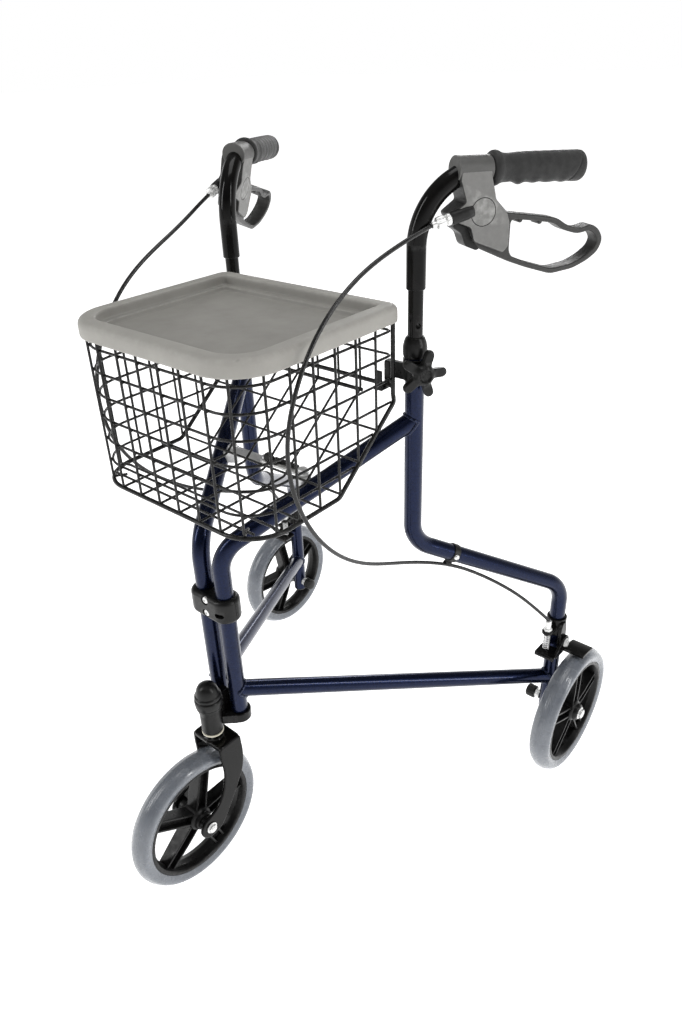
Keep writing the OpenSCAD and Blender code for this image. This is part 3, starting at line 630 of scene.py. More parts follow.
# ---------------------------------------------------------------- side frames
for side, sg in SIDES:
    F = "%s_frame" % side
    m = side_m(sg)
    g = Geo()
    tube(g, bend_path([(0, 233.5, 0), (0, 488, 0), (245.5, 614.7, 0)], 45, 3), 11.1, seg=40, cap=0.8)
    make("vis_%s_front_tube" % side, g, m, M_BLUE, F, ["%s_front_tube" % side])
    g = Geo()
    tube(g, bend_path([(245.5, 690, 0), (245.5, 446.4, 0), (478.3, 316.5, 0), (478.3, 84, 0)], 45, 3), 11.1, seg=40, cap=0.8)
    make("vis_%s_main_tube" % side, g, m, M_BLUE, F, ["%s_main_tube" % side])
    g = Geo()
    tube(g, [(0, 278, 0), (160, 233.74, 0), (320, 189.48, 0), (478.3, 145.7, 0)], 11.1, seg=40, cap=0.8)
    make("vis_%s_bottom_tube" % side, g, m, M_BLUE, F, ["%s_bottom_tube" % side])
    # weld beads at the three joints
    g = Geo()
    zup = Vector((0, 1, 0))
    low = Vector((478.3, -132.3, 0))
    dia = Vector((245.5, 126.7, 0))
    for a0, b0, b in ((Vector((0, 0, 0)), Vector((100, 278 - 27.66, 0)), -low), (Vector((478.3, 0, 0)), Vector((380, 278 - 105.1, 0)), low),
                      (Vector((245.5, 0, 0)), Vector((150, 488 + 77.41, 0)), dia)):
        cur = saddle(a0, zup, 11.1, b0, b, 11.1, 96, 0.4)
        rad = [1.75 + 0.28 * math.sin(k * 2 * math.pi * 16 / 96) + 0.35 * noise.noise(cur[k] * 0.35) for k in range(96)]
        tube(g, cur, 1.7, seg=10, radii=rad, closed=True)
    make("vis_%s_welds" % side, g, m, M_WELD, F, (), weighted=False)
    # end plug of the rear leg
    g = Geo()
    lathe(g, [(0, 80.6), (6, 80.7), (9.6, 81.4), (10.6, 82.4), (10.9, 83.6), (10.9, 86), (0, 86)], 40, T(478.3, 0, 0) @ R(-90, 'X'))
    make("vis_%s_leg_plug" % side, g, m, M_SATIN, F, ())
    # collar at the top of the upright
    g = Geo()
    prof = rnd([(8.7, 690.2), (12.4, 690.2), (13.6, 693), (14.0, 698), (13.7, 703), (12.5, 708.5), (10.8, 712.4), (9.8, 713.8), (8.7, 713.8)], 1.6, n=3)
    lathe(g, [(p.x, p.y) for p in prof], 56, T(UP, 0, 0) @ R(-90, 'X'), loop=True)
    make("vis_%s_collar" % side, g, m, M_SATIN, F, ["%s_collar" % side])
    # strap with boss and basket hook
    g = Geo()
    prof = rnd([(11.2, 664.2), (13.4, 664.2), (13.4, 689.3), (11.2, 689.3)], 0.9, n=3)
    lathe(g, [(p.x, p.y) for p in prof], 56, T(UP, 0, 0) @ R(-90, 'X'), loop=True)
    lathe(g, [(4.2, 9), (8.8, 9), (9, 10), (9, 15.4), (8.4, 16.3), (7.6, 16.6), (4.2, 16.6)], 40, T(UP, 677, 0), loop=True)
    make("vis_%s_strap" % side, g, m, M_SATIN, F, ["%s_hook" % side])
    g = Geo()
    hook = [(206, 684), (206, 664), (199.4, 664), (199.4, 653), (179, 653), (179, 677), (182, 677), (182, 656.4), (195, 656.4), (195, 684)]
    yz = Matrix(((0, 0, 1, 0), (1, 0, 0, 0), (0, 1, 0, 0), (0, 0, 0, 1)))
    rprism(g, rnd(hook, 2.2), 112, 120, 0.8, m=yz)
    rprism(g, rnd([(112, 199.2), (137, 199.2), (137, 205.8), (112, 205.8)], 2), 664.4, 683.6, 0.9)
    make("vis_%s_hook" % side, g, fit_m(sg), M_SATIN, F, ())
    # star knob
    g = Geo()
    K = 150
    rt, x0, hub = 5.3, 22.7, 12.0

    def star(th):
        ph = (th + math.pi / 5) % (2 * math.pi / 5) - math.pi / 5
        ph = abs(ph)
        if ph < 1e-4:
            arm = x0 + rt
        elif rt / math.tan(ph) <= x0 if ph < math.pi / 2 else True:
            arm = rt / math.sin(ph)
        else:
            arm = x0 * math.cos(ph) + math.sqrt(max(rt * rt - (x0 * math.sin(ph)) ** 2, 0))
        return (arm ** 7 + hub ** 7) ** (1 / 7)

    ts = [0.0, 0.12, 0.2, 0.26, 0.32, 0.4, 0.5, 0.6, 0.7, 0.8, 0.87, 0.92, 0.96, 0.985, 1.0]
    vs, fs, rows = [], [], []
    for top in (True, False):
        seq = ts if top else ts[::-1]
        for t in seq:
            if t == 0.0:
                rows.append([len(vs)])
                vs.append((0, 0, 30.4 if top else 19.0))
                continue
            row = []
            for k in range(K):
                th = 2 * math.pi * k / K
                Rr = min(star(th), 28.0)
                r = t * Rr
                d = (1 - t) * Rr
                e = 3.2
                drop = e - math.sqrt(max(e * e - max(e - d, 0) ** 2, 0))
                if top:
                    h = 27.2 - 0.4 * t - drop + 5.0 * smooth((14.5 - r) / 6.5) - 2.6 * smooth((7.6 - r) / 1.8)
                else:
                    h = 19.0 + drop * 0.9
                row.append(len(vs))
                vs.append((r * math.cos(th), r * math.sin(th), h))
            rows.append(row)
    for A, B in zip(rows, rows[1:]):
        for k in range(K):
            j = (k + 1) % K
            if len(A) == 1:
                fs.append((A[0], B[k], B[j]))
            elif len(B) == 1:
                fs.append((A[j], A[k], B[0]))
            else:
                fs.append((A[k], B[k], B[j], A[j]))
    g.put(vs, fs, T(UP, 677, 0))
    lathe(g, [(0, 8.9), (4, 8.9), (4, 17), (8.6, 17.2), (9, 18), (9, 20), (0, 20)], 36, T(UP, 677, 0))
    make("vis_%s_knob" % side, g, m, M_SATIN, "%s_knob" % side, ["%s_knob" % side], sharp=50)
    # strut bracket with its pivot bolt
    zt = 556.6 if sg < 0 else 560.0
    zd = 488 + (614.7 - 488) / 245.5 * 112
    g = Geo()
    rprism(g, rnd([(112 - 8, -26), (112 + 8, -26), (112 + 8, -5), (112 - 8, -5)], 9, n=8), zd - 3, zt, 0.8,
           m=Matrix(((1, 0, 0, 0), (0, 0, 1, 0), (0, 1, 0, 0), (0, 0, 0, 1))))
    up = T(112, zt, -18) @ R(-90, 'X')
    lathe(g, [(0, -1), (3.9, -1), (3.9, 3.6), (7.6, 3.7), (7.8, 4.0), (7.8, 4.6), (7.4, 4.9), (0, 4.9)], 32, up)
    hexhead(g, 6.2, 4.6, 7.9, up, 12)
    make("vis_%s_strut_bracket" % side, g, m, M_ZINC, F, ["%s_strut_bracket" % side])
    # half of the folding strut
    sx, sy = 59.755, 105.27
    z0 = 557.0 if sg < 0 else 560.4
    g = Geo()
    ol = [(p[0] + sx / 2, p[1]) for p in pill(sx / 2, 8, 14)]
    rprism(g, ol, z0, z0 + 3, 0.5, holes=[ngon(4.1, 24, 0, sx, 0)], m=T(0, sy, 0))
    make("vis_%s_strut" % side, g, fit_m(sg), M_BARE if sg > 0 else M_ZINC, "%s_strut" % side, ["%s_strut" % side])
    if sg > 0:
        # black strip and latch tab on the left half
        g = Geo()
        rprism(g, rnd([(9, -1.5), (49, -1.5), (49, 7.4), (9, 7.4)], 3), 563.2, 565.6, 0.6, m=T(0, sy, 0))
        make("vis_left_strut_strip", g, fit_m(sg), M_GLOSS, "left_strut", ())
        g = Geo()
        tab = rnd([(2, 563.6), (24, 563.6), (20, 569), (12, 575.5), (6, 575.5), (2, 570)], 3)
        rprism(g, tab, -7, -2.5, 0.8, m=T(0, sy, 0) @ Matrix(((1, 0, 0, 0), (0, 0, 1, 0), (0, 1, 0, 0), (0, 0, 0, 1))))
        make("vis_left_latch_tab", g, fit_m(sg), M_SATIN, "left_strut", ())
        g = Geo()
        lathe(g, [(0, 560.6), (3.4, 560.6), (3.4, 563.5), (7.2, 563.5), (7.4, 563.8), (7.4, 564.2), (7.0, 564.5), (0, 564.5)], 32, T(0, sy, 0))
        hexhead(g, 6.0, 564.3, 567.4, T(0, sy, 0), 20)
        make("vis_strut_pivot_bolt", g, fit_m(1), M_ZINC, "left_strut", ["strut_pivot_bolt"])
    # cable clip under the lower rail
    d = Vector((478.3 - 245.5, 316.5 - 446.4, 0)).normalized()
    s0 = 303.1
    base = Vector((s0, 446.4 - (s0 - 245.5) * 129.9 / 232.8, 0))
    perp = Vector((d.y, -d.x, 0))
    if perp.y > 0:
        perp = -perp
    cl = Matrix(((d.x, perp.x, 0, base.x), (d.y, perp.y, 0, base.y), (0, 0, 1, 0), (0, 0, 0, 1)))
    ringm = cl @ R(90, 'Y')
    g = Geo()
    band = [(11.15, -4.5), (12.2, -4.5), (12.5, -4.1), (12.5, 4.1), (12.2, 4.5), (11.15, 4.5)]
    lathe(g, band, 48, ringm, loop=True)
    loop_ = [(2.4, -4.5), (3.8, -4.5), (4.1, -4.1), (4.1, 4.1), (3.8, 4.5), (2.4, 4.5)]
    lathe(g, loop_, 28, cl @ T(0, 15.9, 1.6) @ R(90, 'Y'), loop=True)
    rprism(g, rnd([(-4.2, 11.4), (4.2, 11.4), (4.2, 13.6), (-4.2, 13.6)], 0.8), -2.0, 4.2, 0.5, m=cl)
    make("vis_%s_cable_clip" % side, g, m, M_SATIN, F, ())
    g = Geo()
    lathe(g, [(0, 15.0), (2.2, 14.7), (3.3, 13.8), (3.6, 12.6), (3.6, 12.0), (0, 12.0)], 24, cl @ T(0, 0, 0) @ R(0, 'X'))
    make("vis_%s_clip_screw" % side, g, m, M_BARE, F, ())

# ---------------------------------------------------------------- front column
FC = "front_column"


def cut_plane(g, co, no):
    bm = bmesh.new()
    me = bpy.data.meshes.new("tmp")
    me.from_pydata(g.v, [], g.f)
    bm.from_mesh(me)
    bmesh.ops.recalc_face_normals(bm, faces=bm.faces)
    r = bmesh.ops.bisect_plane(bm, geom=bm.verts[:] + bm.edges[:] + bm.faces[:], plane_co=co, plane_no=no, clear_outer=True)
    edges = [e for e in r['geom_cut'] if isinstance(e, bmesh.types.BMEdge)]
    bmesh.ops.holes_fill(bm, edges=[e for e in edges if len(e.link_faces) == 1], sides=0)
    out = Geo()
    bm.verts.index_update()
    out.put([v.co.copy() for v in bm.verts], [tuple(v.index for v in f.verts) for f in bm.faces])
    bm.free()
    bpy.data.meshes.remove(me)
    return out


block = Geo()
rprism(block, pill(HX, 18, 28), 393.5, 426.5, 6.0, n=7)
front = cut_plane(block, Vector((0, -0.3, 0)), Vector((0, 1, 0)))
rear = cut_plane(block, Vector((0, 0.3, 0)), Vector((0, -1, 0)))
c1, c2 = Geo(), Geo()
to_front = R(90, 'X')
for z in (402, 420.5):
    lathe(c1, [(0, 14.6), (5.3, 14.6), (5.6, 14.9), (6.0, 19.5), (0, 19.5)], 28, T(0, 0, z) @ to_front)
rprism(c2, rnd(pill(3.2, 3.2, 10), 0.5), 12, 30, 0.3, m=T(17.5, 0, 407) @ R(90, 'X') @ R(18, 'Y') @ R(0, 'Z'))
make("vis_clamp_front", front, fit_m(), M_SATIN, FC, ["clamp_front"], cut=(c1, c2))
make("vis_clamp_rear", rear, fit_m(), M_SATIN, FC, ["clamp_rear"])
g = Geo()
for z in (402, 420.5):
    lathe(g, [(0, 12), (4.9, 12), (4.9, 15.4), (4.4, 16.8), (3.0, 17.5), (1.9, 17.6), (1.7, 16.4), (0, 16.3)], 28, T(0, 0, z) @ to_front)
    hexhead(g, 5.4, 14.5, 17.8, T(0, 0, z) @ R(-90, 'X'), 15)
make("vis_clamp_screws", g, fit_m(), M_BARE, FC, ["clamp_screws"])

g = Geo()
plan = [(-HX, 15)] + [(-HX - 15 * math.sin(math.radians(a)), 15 * math.cos(math.radians(a))) for a in range(12, 169, 12)]
plan += [(-26, -12.2), (-12.5, STEM_Y + 9), (12.5, STEM_Y + 9), (26, -12.2)]
plan += [(HX + 15 * math.sin(math.radians(a)), 15 * math.cos(math.radians(a))) for a in range(168, 11, -12)] + [(HX, 15)]
rprism(g, plan, 230, 244, 1.6, n=4)
rprism(g, rnd([(-5.6, -20), (5.6, -20), (5.6, -4), (-5.6, -4)], 1.5), 238, 275, 1.2)
make("vis_hinge_bracket", g, fit_m(), M_GLOSS, FC, ["hinge_bracket"])
st = fit_m() @ T(0, STEM_Y, 0)
g = Geo()
lathe(g, [(p.x, p.y) for p in rnd([(10.2, 222.6), (13.3, 222.6), (14, 223.6), (14, 250), (14.3, 254), (15.4, 258.5), (16.8, 262.6), (17.5, 265.2), (17.3, 266), (10.2, 266)], 1.2, n=3)], 64, loop=True)
make("vis_caster_housing", g, st, M_DARK, FC, ["caster_housing"])
g = Geo()
lathe(g, [(0, 301), (3, 300.8), (6, 300.1), (9, 298.5), (11.4, 296.2), (13.2, 293), (14.5, 289), (15.1, 285.5), (15.4, 284.2), (16.4, 283.4), (17.1, 282.6), (17.4, 281.2),
          (17.2, 279.8), (16.6, 278.9), (16.2, 278.2), (16.2, 277.6), (17.0, 276.9), (17.8, 276.2), (18.15, 274.4), (18.1, 271.6), (17.8, 268), (17.5, 266.6), (16.8, 266.3), (0, 266.3)], 64)
make("vis_caster_cap", g, st, M_SATIN, FC, ["caster_cap"])
g = Geo()
lathe(g, [(p.x, p.y) for p in rnd([(6.6, 219.7), (14.4, 219.7), (14.4, 222.1), (6.6, 222.1)], 0.7, n=3)], 56, loop=True)
make("vis_caster_washer", g, st, M_IVORY, FC, ["caster_washer"])

# ---------------------------------------------------------------- caster fork and wheel
CF = "caster_fork"
g = Geo()
rprism(g, rnd([(-27.4, -13.5), (27.4, -13.5), (27.4, 22.6), (-27.4, 22.6)], 7, n=6), 203.6, 211, 2.6, n=5)
lathe(g, [(6.2, 210), (14.5, 210), (13.2, 211.2), (12.3, 212.6), (12, 214.5), (12, 218.2), (11.6, 219.1), (6.2, 219.2)], 48, loop=True)
blade = [(-13.4, 210), (-13.2, 190), (-12, 178), (-12, 165), (-14.5, 152.5), (-21, 136), (-28, 127), (-37, 120), (-48, 116), (-57, 113.5), (-63, 107), (-65, 100),
         (-63, 92), (-57, 86), (-49, 84), (-40, 84.5), (-30, 88.5), (-24.5, 95), (-17, 104), (-9, 115.5), (0, 127), (7.5, 139), (14, 148.5), (18.5, 158), (21.5, 170), (23, 185), (22.4, 201), (22.4, 210)]
prismx = Matrix(((0, 0, 1, 0), (1, 0, 0, 0), (0, 1, 0, 0), (0, 0, 0, 1)))
for s in (1, -1):
    mir = Matrix(((s, 0, 0, 0), (0, 1, 0, 0), (0, 0, 1, 0), (0, 0, 0, 1)))
    rprism(g, rnd(blade, 5, n=3), -4.6, 0, 1.7, n=4, m=mir @ T(27.5, 0, 211) @ R(-2.8, 'Y') @ T(0, 0, -211) @ prismx)
make("vis_caster_fork", g, SWIVEL, M_GLOSS, CF, ["caster_fork"])
g = Geo()
for s in (1, -1):
    ax = Matrix(((s, 0, 0, 0), (0, 1, 0, 0), (0, 0, 1, 0), (0, 0, 0, 1))) @ T(0, -LEAD, 100) @ R(90, 'Y')
    lathe(g, [(0, 32.9), (7.4, 33.0), (7.8, 33.3), (7.8, 34.2), (7.4, 34.5), (0, 34.5)], 36, ax)
    hexhead(g, 6.2, 34.2, 37.4, ax, 10)
    lathe(g, [(0, 37), (3.4, 37), (3.4, 38), (2.9, 38.3), (0, 38.3)], 24, ax)
make("vis_caster_axle", g, SWIVEL, M_BARE, CF, ["caster_axle"])
g = Geo()
for s in (1, -1):
    ax = Matrix(((s, 0, 0, 0), (0, 1, 0, 0), (0, 0, 1, 0), (0, 0, 0, 1))) @ T(0, -LEAD, 100) @ R(90, 'Y')
    lathe(g, [(p.x, p.y) for p in rnd([(6, 19.3), (9.4, 19.3), (9.4, 27.8), (6, 27.8)], 1.0, n=3)], 40, ax, loop=True)
make("vis_caster_spacers", g, SWIVEL, M_SATIN, CF, ())


def wheel_rim(g, m, phase):
    lathe(g, [(81.3, -12.5), (80.6, -13), (77.6, -13), (76.4, -12.4), (75.4, -10.6), (74.0, -6.5), (73.2, -5.2), (73.0, -3), (73.0, 3), (73.2, 5.2), (74.0, 6.5), (75.4, 10.6), (76.4, 12.4),
              (77.6, 13), (80.6, 13), (81.3, 12.5)], 128, m, loop=True)
    lathe(g, [(6.3, -18.9), (10.6, -18.9), (11.6, -18.3), (12.6, -16.6), (13.2, -13.4), (15.6, -11.9), (16.6, -10.8), (17, -9), (17, 9), (16.6, 10.8), (15.6, 11.9), (13.2, 13.4), (12.6, 16.6),
              (11.6, 18.3), (10.6, 18.9), (6.3, 18.9)], 64, m, loop=True)
    for a in range(5):
        sm = m @ R(72 * a + phase, 'Z')
        for s in (1, -1):
            rprism(g, rnd([(13, -10), (34, -9.9), (75.2, -8.6), (75.2, 8.6), (34, 9.9), (13, 10)], 3), 5.8 if s > 0 else -8.5, 8.5 if s > 0 else -5.8, 0.7, n=3, m=sm @ R(90, 'X'))
        rprism(g, [(13, -6.6), (75, -6.6), (75, 6.6), (13, 6.6)], -1.8, 1.8, 0.5, m=sm)


def tyre_profile():
    base = [(0, 100), (2.5, 99.86), (4.5, 99.5), (6.5, 98.8), (8.5, 97.7), (10.5, 96.7), (12, 95.8), (13.4, 94.7), (14.5, 93.4), (15.2, 92), (15.5, 90.3), (15.35, 88.2), (14.9, 86.3), (14.2, 84.6), (13.7, 83.4), (13.2, 82.7), (13.0, 81.6)]

    def r_at(h):
        for (h0, r0), (h1, r1) in zip(base, base[1:]):
            if h0 <= h <= h1:
                return r0 + (r1 - r0) * (h - h0) / (h1 - h0)
        return 95.0

    half = []
    h = 0.0
    while h < 12.6:
        half.append((r_at(h) - 0.16 * (0.5 - 0.5 * math.cos(2 * math.pi * h / 2.4)), h))
        h += 0.6
    half += [(r, h) for h, r in base[7:]]
    return [(r, -h) for r, h in reversed(half[1:])] + half


TYRE = tyre_profile()
for name, body, phase, m in (("caster", "caster_wheel", 21, SWIVEL @ T(0, -LEAD, 100)), ("left", "left_wheel", 31, fit_m(1) @ T(REAR_X, WHEEL_Y, 100)),
                             ("right", "right_wheel", 47, fit_m(-1) @ T(REAR_X, WHEEL_Y, 100))):
    wm = R(90, 'Y')
    g = Geo()
    wheel_rim(g, wm, phase)
    make("vis_%s_rim" % name, g, m, M_WHEEL, body, ["%s_rim" % name])
    g = Geo()
    lathe(g, TYRE, 144, wm, loop=True)
    make("vis_%s_tyre" % name, g, m, M_TYRE, body, ["%s_tyre" % name], sharp=60)

# ---------------------------------------------------------------- rear axles and brakes
BY, BZ, BF = WHEEL_Y - 5, 224.0, WHEEL_Y - 27
for side, sg in SIDES:
    F = "%s_frame" % side
    m = fit_m(sg)
    ax = T(0, WHEEL_Y, 100) @ R(90, 'Y')
    g = Geo()
    hexhead(g, 7.4, REAR_X + 20.0, REAR_X + 24.4, ax, 8)
    lathe(g, [(0, REAR_X + 19.1), (9.2, REAR_X + 19.1), (9.6, REAR_X + 19.5), (9.6, REAR_X + 20.1), (9.2, REAR_X + 20.5), (0, REAR_X + 20.5)], 40, ax)
    lathe(g, [(0, LEG_X - 19), (7, LEG_X - 19), (7, LEG_X - 11), (0, LEG_X - 11)], 28, ax)
    lathe(g, [(6, LEG_X + 11.4), (9, LEG_X + 11.4), (9, REAR_X - 19.2), (6, REAR_X - 19.2)], 36, ax, loop=True)
    make("vis_%s_axle" % side, g, m, M_BARE, F, ["%s_axle" % side])
    g = Geo()
    x0 = LEG_X - 33
    lathe(g, [(0, x0), (5.5, x0 + 0.1), (8.2, x0 + 0.7), (9.5, x0 + 1.9), (10, x0 + 3.6), (10, x0 + 13.4), (9.5, x0 + 14.6), (8.4, x0 + 15), (0, x0 + 15)], 96, ax,
          mod=lambda a, r, h: -0.55 * (0.5 + 0.5 * math.cos(16 * a)) if r > 9 else 0)
    make("vis_%s_axle_cap" % side, g, m, M_SATIN, F, (), sharp=50)
    # fixed brake bracket
    g = Geo()
    prof = rnd([(11.2, 234.2), (14.3, 234.2), (14.3, 261.8), (11.2, 261.8)], 1.0, n=3)
    lathe(g, [(p.x, p.y) for p in prof], 56, T(LEG_X, WHEEL_Y, 0), loop=True)
    lug = [(LEG_X - 8, WHEEL_Y - 8), (LEG_X - 8, BF)] + [(LEG_X - 8 * math.cos(math.radians(a)), BF - 8 * math.sin(math.radians(a))) for a in range(15, 180, 15)] + [(LEG_X + 8, BF), (LEG_X + 8, WHEEL_Y - 8)]
    rprism(g, lug, 246, 251, 0.9, holes=[ngon(2.0, 20, 0, LEG_X, BF)])
    rprism(g, rnd([(BY - 9, 213), (BY + 9, 213), (BY + 9, 244), (BY + 5, 258), (BY - 5, 258), (BY - 9, 244)], 4), LEG_X + 11, LEG_X + 15.4, 0.8, m=prismx)
    rprism(g, rnd([(LEG_X + 2, BY - 7), (LEG_X + 14, BY - 7), (LEG_X + 14, BY + 7), (LEG_X + 2, BY + 7)], 2), 238, 256, 0.8)
    make("vis_%s_brake_bracket" % side, g, m, M_GLOSS, F, ["%s_brake_bracket" % side])
    g = Geo()
    hexhead(g, 6.4, 251.0, 255.0, T(LEG_X, BF, 0), 20)
    lathe(g, [(0, 254), (4.4, 254), (4.4, 257), (4.2, 257.4), (4.2, 258), (4.5, 258.4), (4.5, 266.4), (4.0, 267.4), (3.2, 268), (0, 268)], 48, T(LEG_X, BF, 0),
          mod=lambda a, r, h: -0.25 * (0.5 + 0.5 * math.cos(16 * a)) if h > 258 and r > 4.1 else 0)
    bx = T(0, BY, BZ) @ R(90, 'Y')
    lathe(g, [(0, LEG_X + 12), (3.9, LEG_X + 12), (3.9, LEG_X + 20), (6.6, LEG_X + 20.1), (6.9, LEG_X + 20.4), (6.9, LEG_X + 20.9), (0, LEG_X + 20.9)], 32, bx)
    hexhead(g, 6.2, LEG_X + 20.6, LEG_X + 24, bx, 10)
    make("vis_%s_brake_fittings" % side, g, m, M_BARE, F, ())
    g = Geo()
    turns, zz0, zz1 = 7.5, 216.7, 244.9
    hel = []
    n = int(turns * 22)
    for i in range(n + 1):
        t = i / n
        a = 2 * math.pi * turns * t
        z = zz0 + (zz1 - zz0) * t
        hel.append((LEG_X + 4.0 * math.cos(a), BF + 4.0 * math.sin(a), z))
    tube(g, hel, 0.85, seg=10, cap=0.4)
    spring = make("vis_%s_brake_spring" % side, g, m, M_ZINC, F, ["%s_brake_spring" % side], weighted=False)
    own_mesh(spring)
    # moving brake arm with its shoe
    A = "%s_brake_arm" % side
    g = Geo()
    seat = rnd([(LEG_X - 10.8, BF - 12.8), (LEG_X + 19.4, BF - 12.8), (LEG_X + 19.4, WHEEL_Y - 14.8), (LEG_X - 10.8, WHEEL_Y - 14.8)], 4.5)
    rprism(g, seat, 212.1, 215.4, 0.8)
    rprism(g, rnd([(LEG_X - 10.8, BF - 12.8), (LEG_X + 19.4, BF - 12.8), (LEG_X + 19.4, BF - 9.8), (LEG_X - 10.8, BF - 9.8)], 1), 208.5, 215.2, 0.7)
    cheek = rnd([(BF - 4, 208), (BF + 8, 207.4), (BY + 10, 207.4), (BY + 14, 212), (BY + 12, 228), (BY + 6, 233.6), (BY - 6, 233.6), (BY - 11, 226), (BF - 4, 217)], 3.5)
    rprism(g, cheek, LEG_X + 16, LEG_X + 19.5, 0.8, holes=[ngon(4.4, 24, 0, BY, BZ)], m=prismx)
    arc = []
    for a in range(-1, 18):
        q = math.radians(a)
        arc.append((WHEEL_Y + 104.3 * math.sin(q), 100 + 104.3 * math.cos(q)))
    for a in range(17, -2, -1):
        q = math.radians(a)
        arc.append((WHEEL_Y + 108.8 * math.sin(q), 100 + 108.8 * math.cos(q)))
    rprism(g, arc, LEG_X + 16.2, REAR_X + 12.5, 0.9, m=prismx)
    make("vis_%s_brake_arm" % side, g, m, M_GLOSS, A, ["%s_brake_arm" % side])

# ---------------------------------------------------------------- handles
H_OUT = [(287, 872), (294, 851), (278, 840), (281.5, 833), (300, 825.5), (304.5, 811), (339.5, 796.5), (346, 803), (345.5, 827.5), (342, 837.5), (328.5, 851), (322.5, 874), (322, 880), (288, 880)]
L_OUT = [(313.5, 828.5), (325, 829), (334, 836.5), (346, 836), (376, 831), (406, 825.5), (420, 816.5), (435, 811.5), (451, 815), (461, 809), (467.5, 798), (463, 785), (450, 776), (432, 769), (404, 766),
         (372, 776.5), (349, 785.5), (332, 793.5), (312, 803), (306, 812), (305, 826)]
L_IN = [(350, 829), (376, 825), (402, 820.5), (416, 811.5), (434, 806), (449, 808.5), (456, 804), (460.5, 797), (457, 789), (445, 780.5), (430, 774.5), (405, 771.5), (374, 781.5), (353, 790.5), (350, 797)]
for side, sg in SIDES:
    B = "%s_handle" % side
    m = grip_m(sg)
    g = Geo()
    tube(g, [(UP, 566, 0), (UP, 640, 0), (UP, 700, 0), (UP, 740, 0), (UP, 814, 0)], 8.5, seg=48, cap=0.8)
    holes = Geo()
    for k in range(3):
        tube(holes, [(UP, 727 - 25 * k, -14), (UP, 727 - 25 * k, 14)], 3.2, seg=24, cap=0.1)
    make("vis_%s_post" % side, g, side_m(sg), M_GLOSS, B, ["%s_post" % side], cut=(holes,))
    g = Geo()
    path = [Vector((UP, z, 0)) for z in (765.5, 785, 800, 803, 806, 809, 812)]
    path += bend_path([(UP, 720, 0), (UP, 883, 0), (429, 875.2, 0)], 72, 2)[1:]
    tube(g, path, 10.6, seg=48, cap=1.0)
    make("vis_%s_handle_tube" % side, g, m, M_GLOSS, B, ["%s_handle_tube" % side])
    # rubber grip
    g = Geo()
    GL, NV = 108.0, 72
    knots = [(0, 14.6), (0.5, 15.6), (1.6, 16.7), (3.4, 17.3), (5.6, 17.3), (7.6, 16.7), (10, 15.5), (13, 14.5), (17, 14.0), (22, 14.1), (28, 14.6), (36, 15.0), (50, 15.2), (70, 15.35), (90, 15.45), (103, 15.45), (105.6, 15.1), (107.2, 14.2), (108, 12.8)]

    def grip_r(u):
        for (u0, r0), (u1, r1) in zip(knots, knots[1:]):
            if u0 <= u <= u1:
                return r0 + (r1 - r0) * (u - u0) / (u1 - u0)
        return knots[-1][1]

    us = [0, 0.3, 0.6, 1.2, 2, 2.8, 3.6, 4.6, 5.6, 6.6, 7.6, 8.8, 10, 11.5, 13, 15, 17, 19]
    u = 20.0
    while u < 92:
        us.append(u)
        u += 1.5
    while u < 107:
        us.append(u)
        u += 0.5
    us += [107.4, 107.8, 108]
    vs, fs = [], []
    for u in us:
        for k in range(NV):
            a = 2 * math.pi * k / NV          # 0 is up, pi is down
            under = max(0.0, -math.cos(a))
            r = grip_r(u)
            if 14 < u < 100:
                r += 0.45 * under ** 1.2 * math.cos(2 * math.pi * (u - 33) / 17.5) * smooth((u - 14) / 10) * smooth((100 - u) / 8)
                r += 0.10 * math.cos(2 * math.pi * (u - 30) / 11.0) * smooth((u - 20) / 8) * smooth((96 - u) / 8)
            r += 1.5 * under ** 3 * math.exp(-((u - 34) / 3.4) ** 2)
            lipu = 97.5 + 6.5 * math.cos(a)
            r -= 0.75 * math.exp(-((u - lipu) / 0.75) ** 2) if u < 106 else 0
            r += 0.25 * smooth((u - lipu) / 1.5) if lipu < u < 105 else 0
            vs.append((u, r * math.cos(a), r * math.sin(a)))
    for i in range(len(us) - 1):
        for k in range(NV):
            j = (k + 1) % NV
            fs.append((i * NV + k, i * NV + j, (i + 1) * NV + j, (i + 1) * NV + k))
    fs.append(tuple(reversed(range(NV))))
    base_i = (len(us) - 1) * NV
    ctr = len(vs)
    vs.append((108.0, 0, 0))
    inner = []
    for k in range(NV):
        a = 2 * math.pi * k / NV
        inner.append(len(vs))
        vs.append((108.0, 9.5 * math.cos(a), 9.5 * math.sin(a)))
    for k in range(NV):
        j = (k + 1) % NV
        fs.append((base_i + k, base_i + j, inner[j], inner[k]))
        fs.append((inner[k], inner[j], ctr))
    g.put(vs, fs, T(326, on_h(326), 0) @ R(H_ANG, 'Z'))
    make("vis_%s_grip" % side, g, m, M_RUBBER, B, ["%s_grip" % side], sharp=55, weighted=False)
    # brake housing: strap over the tube, body with a slot for the lever, nose for the cable
    m = brake_m(sg)
    hax = along((286, on_h(286), 0), (325, on_h(325), 0))
    g = Geo()
    rprism(g, rnd(H_OUT, 2.4), -15, 15, 1.6, n=4)
    slot = Geo()
    rprism(slot, [(303, 789), (362, 789), (362, 853), (303, 853)], -10.4, 10.4, 0.2)
    ring = Geo()
    for s in (1, -1):
        lathe(ring, [(13.5, 14.3 * s), (14.4, 14.3 * s), (14.4, 16 * s), (13.5, 16 * s)], 64, T(313.7, 840, 0), loop=True)
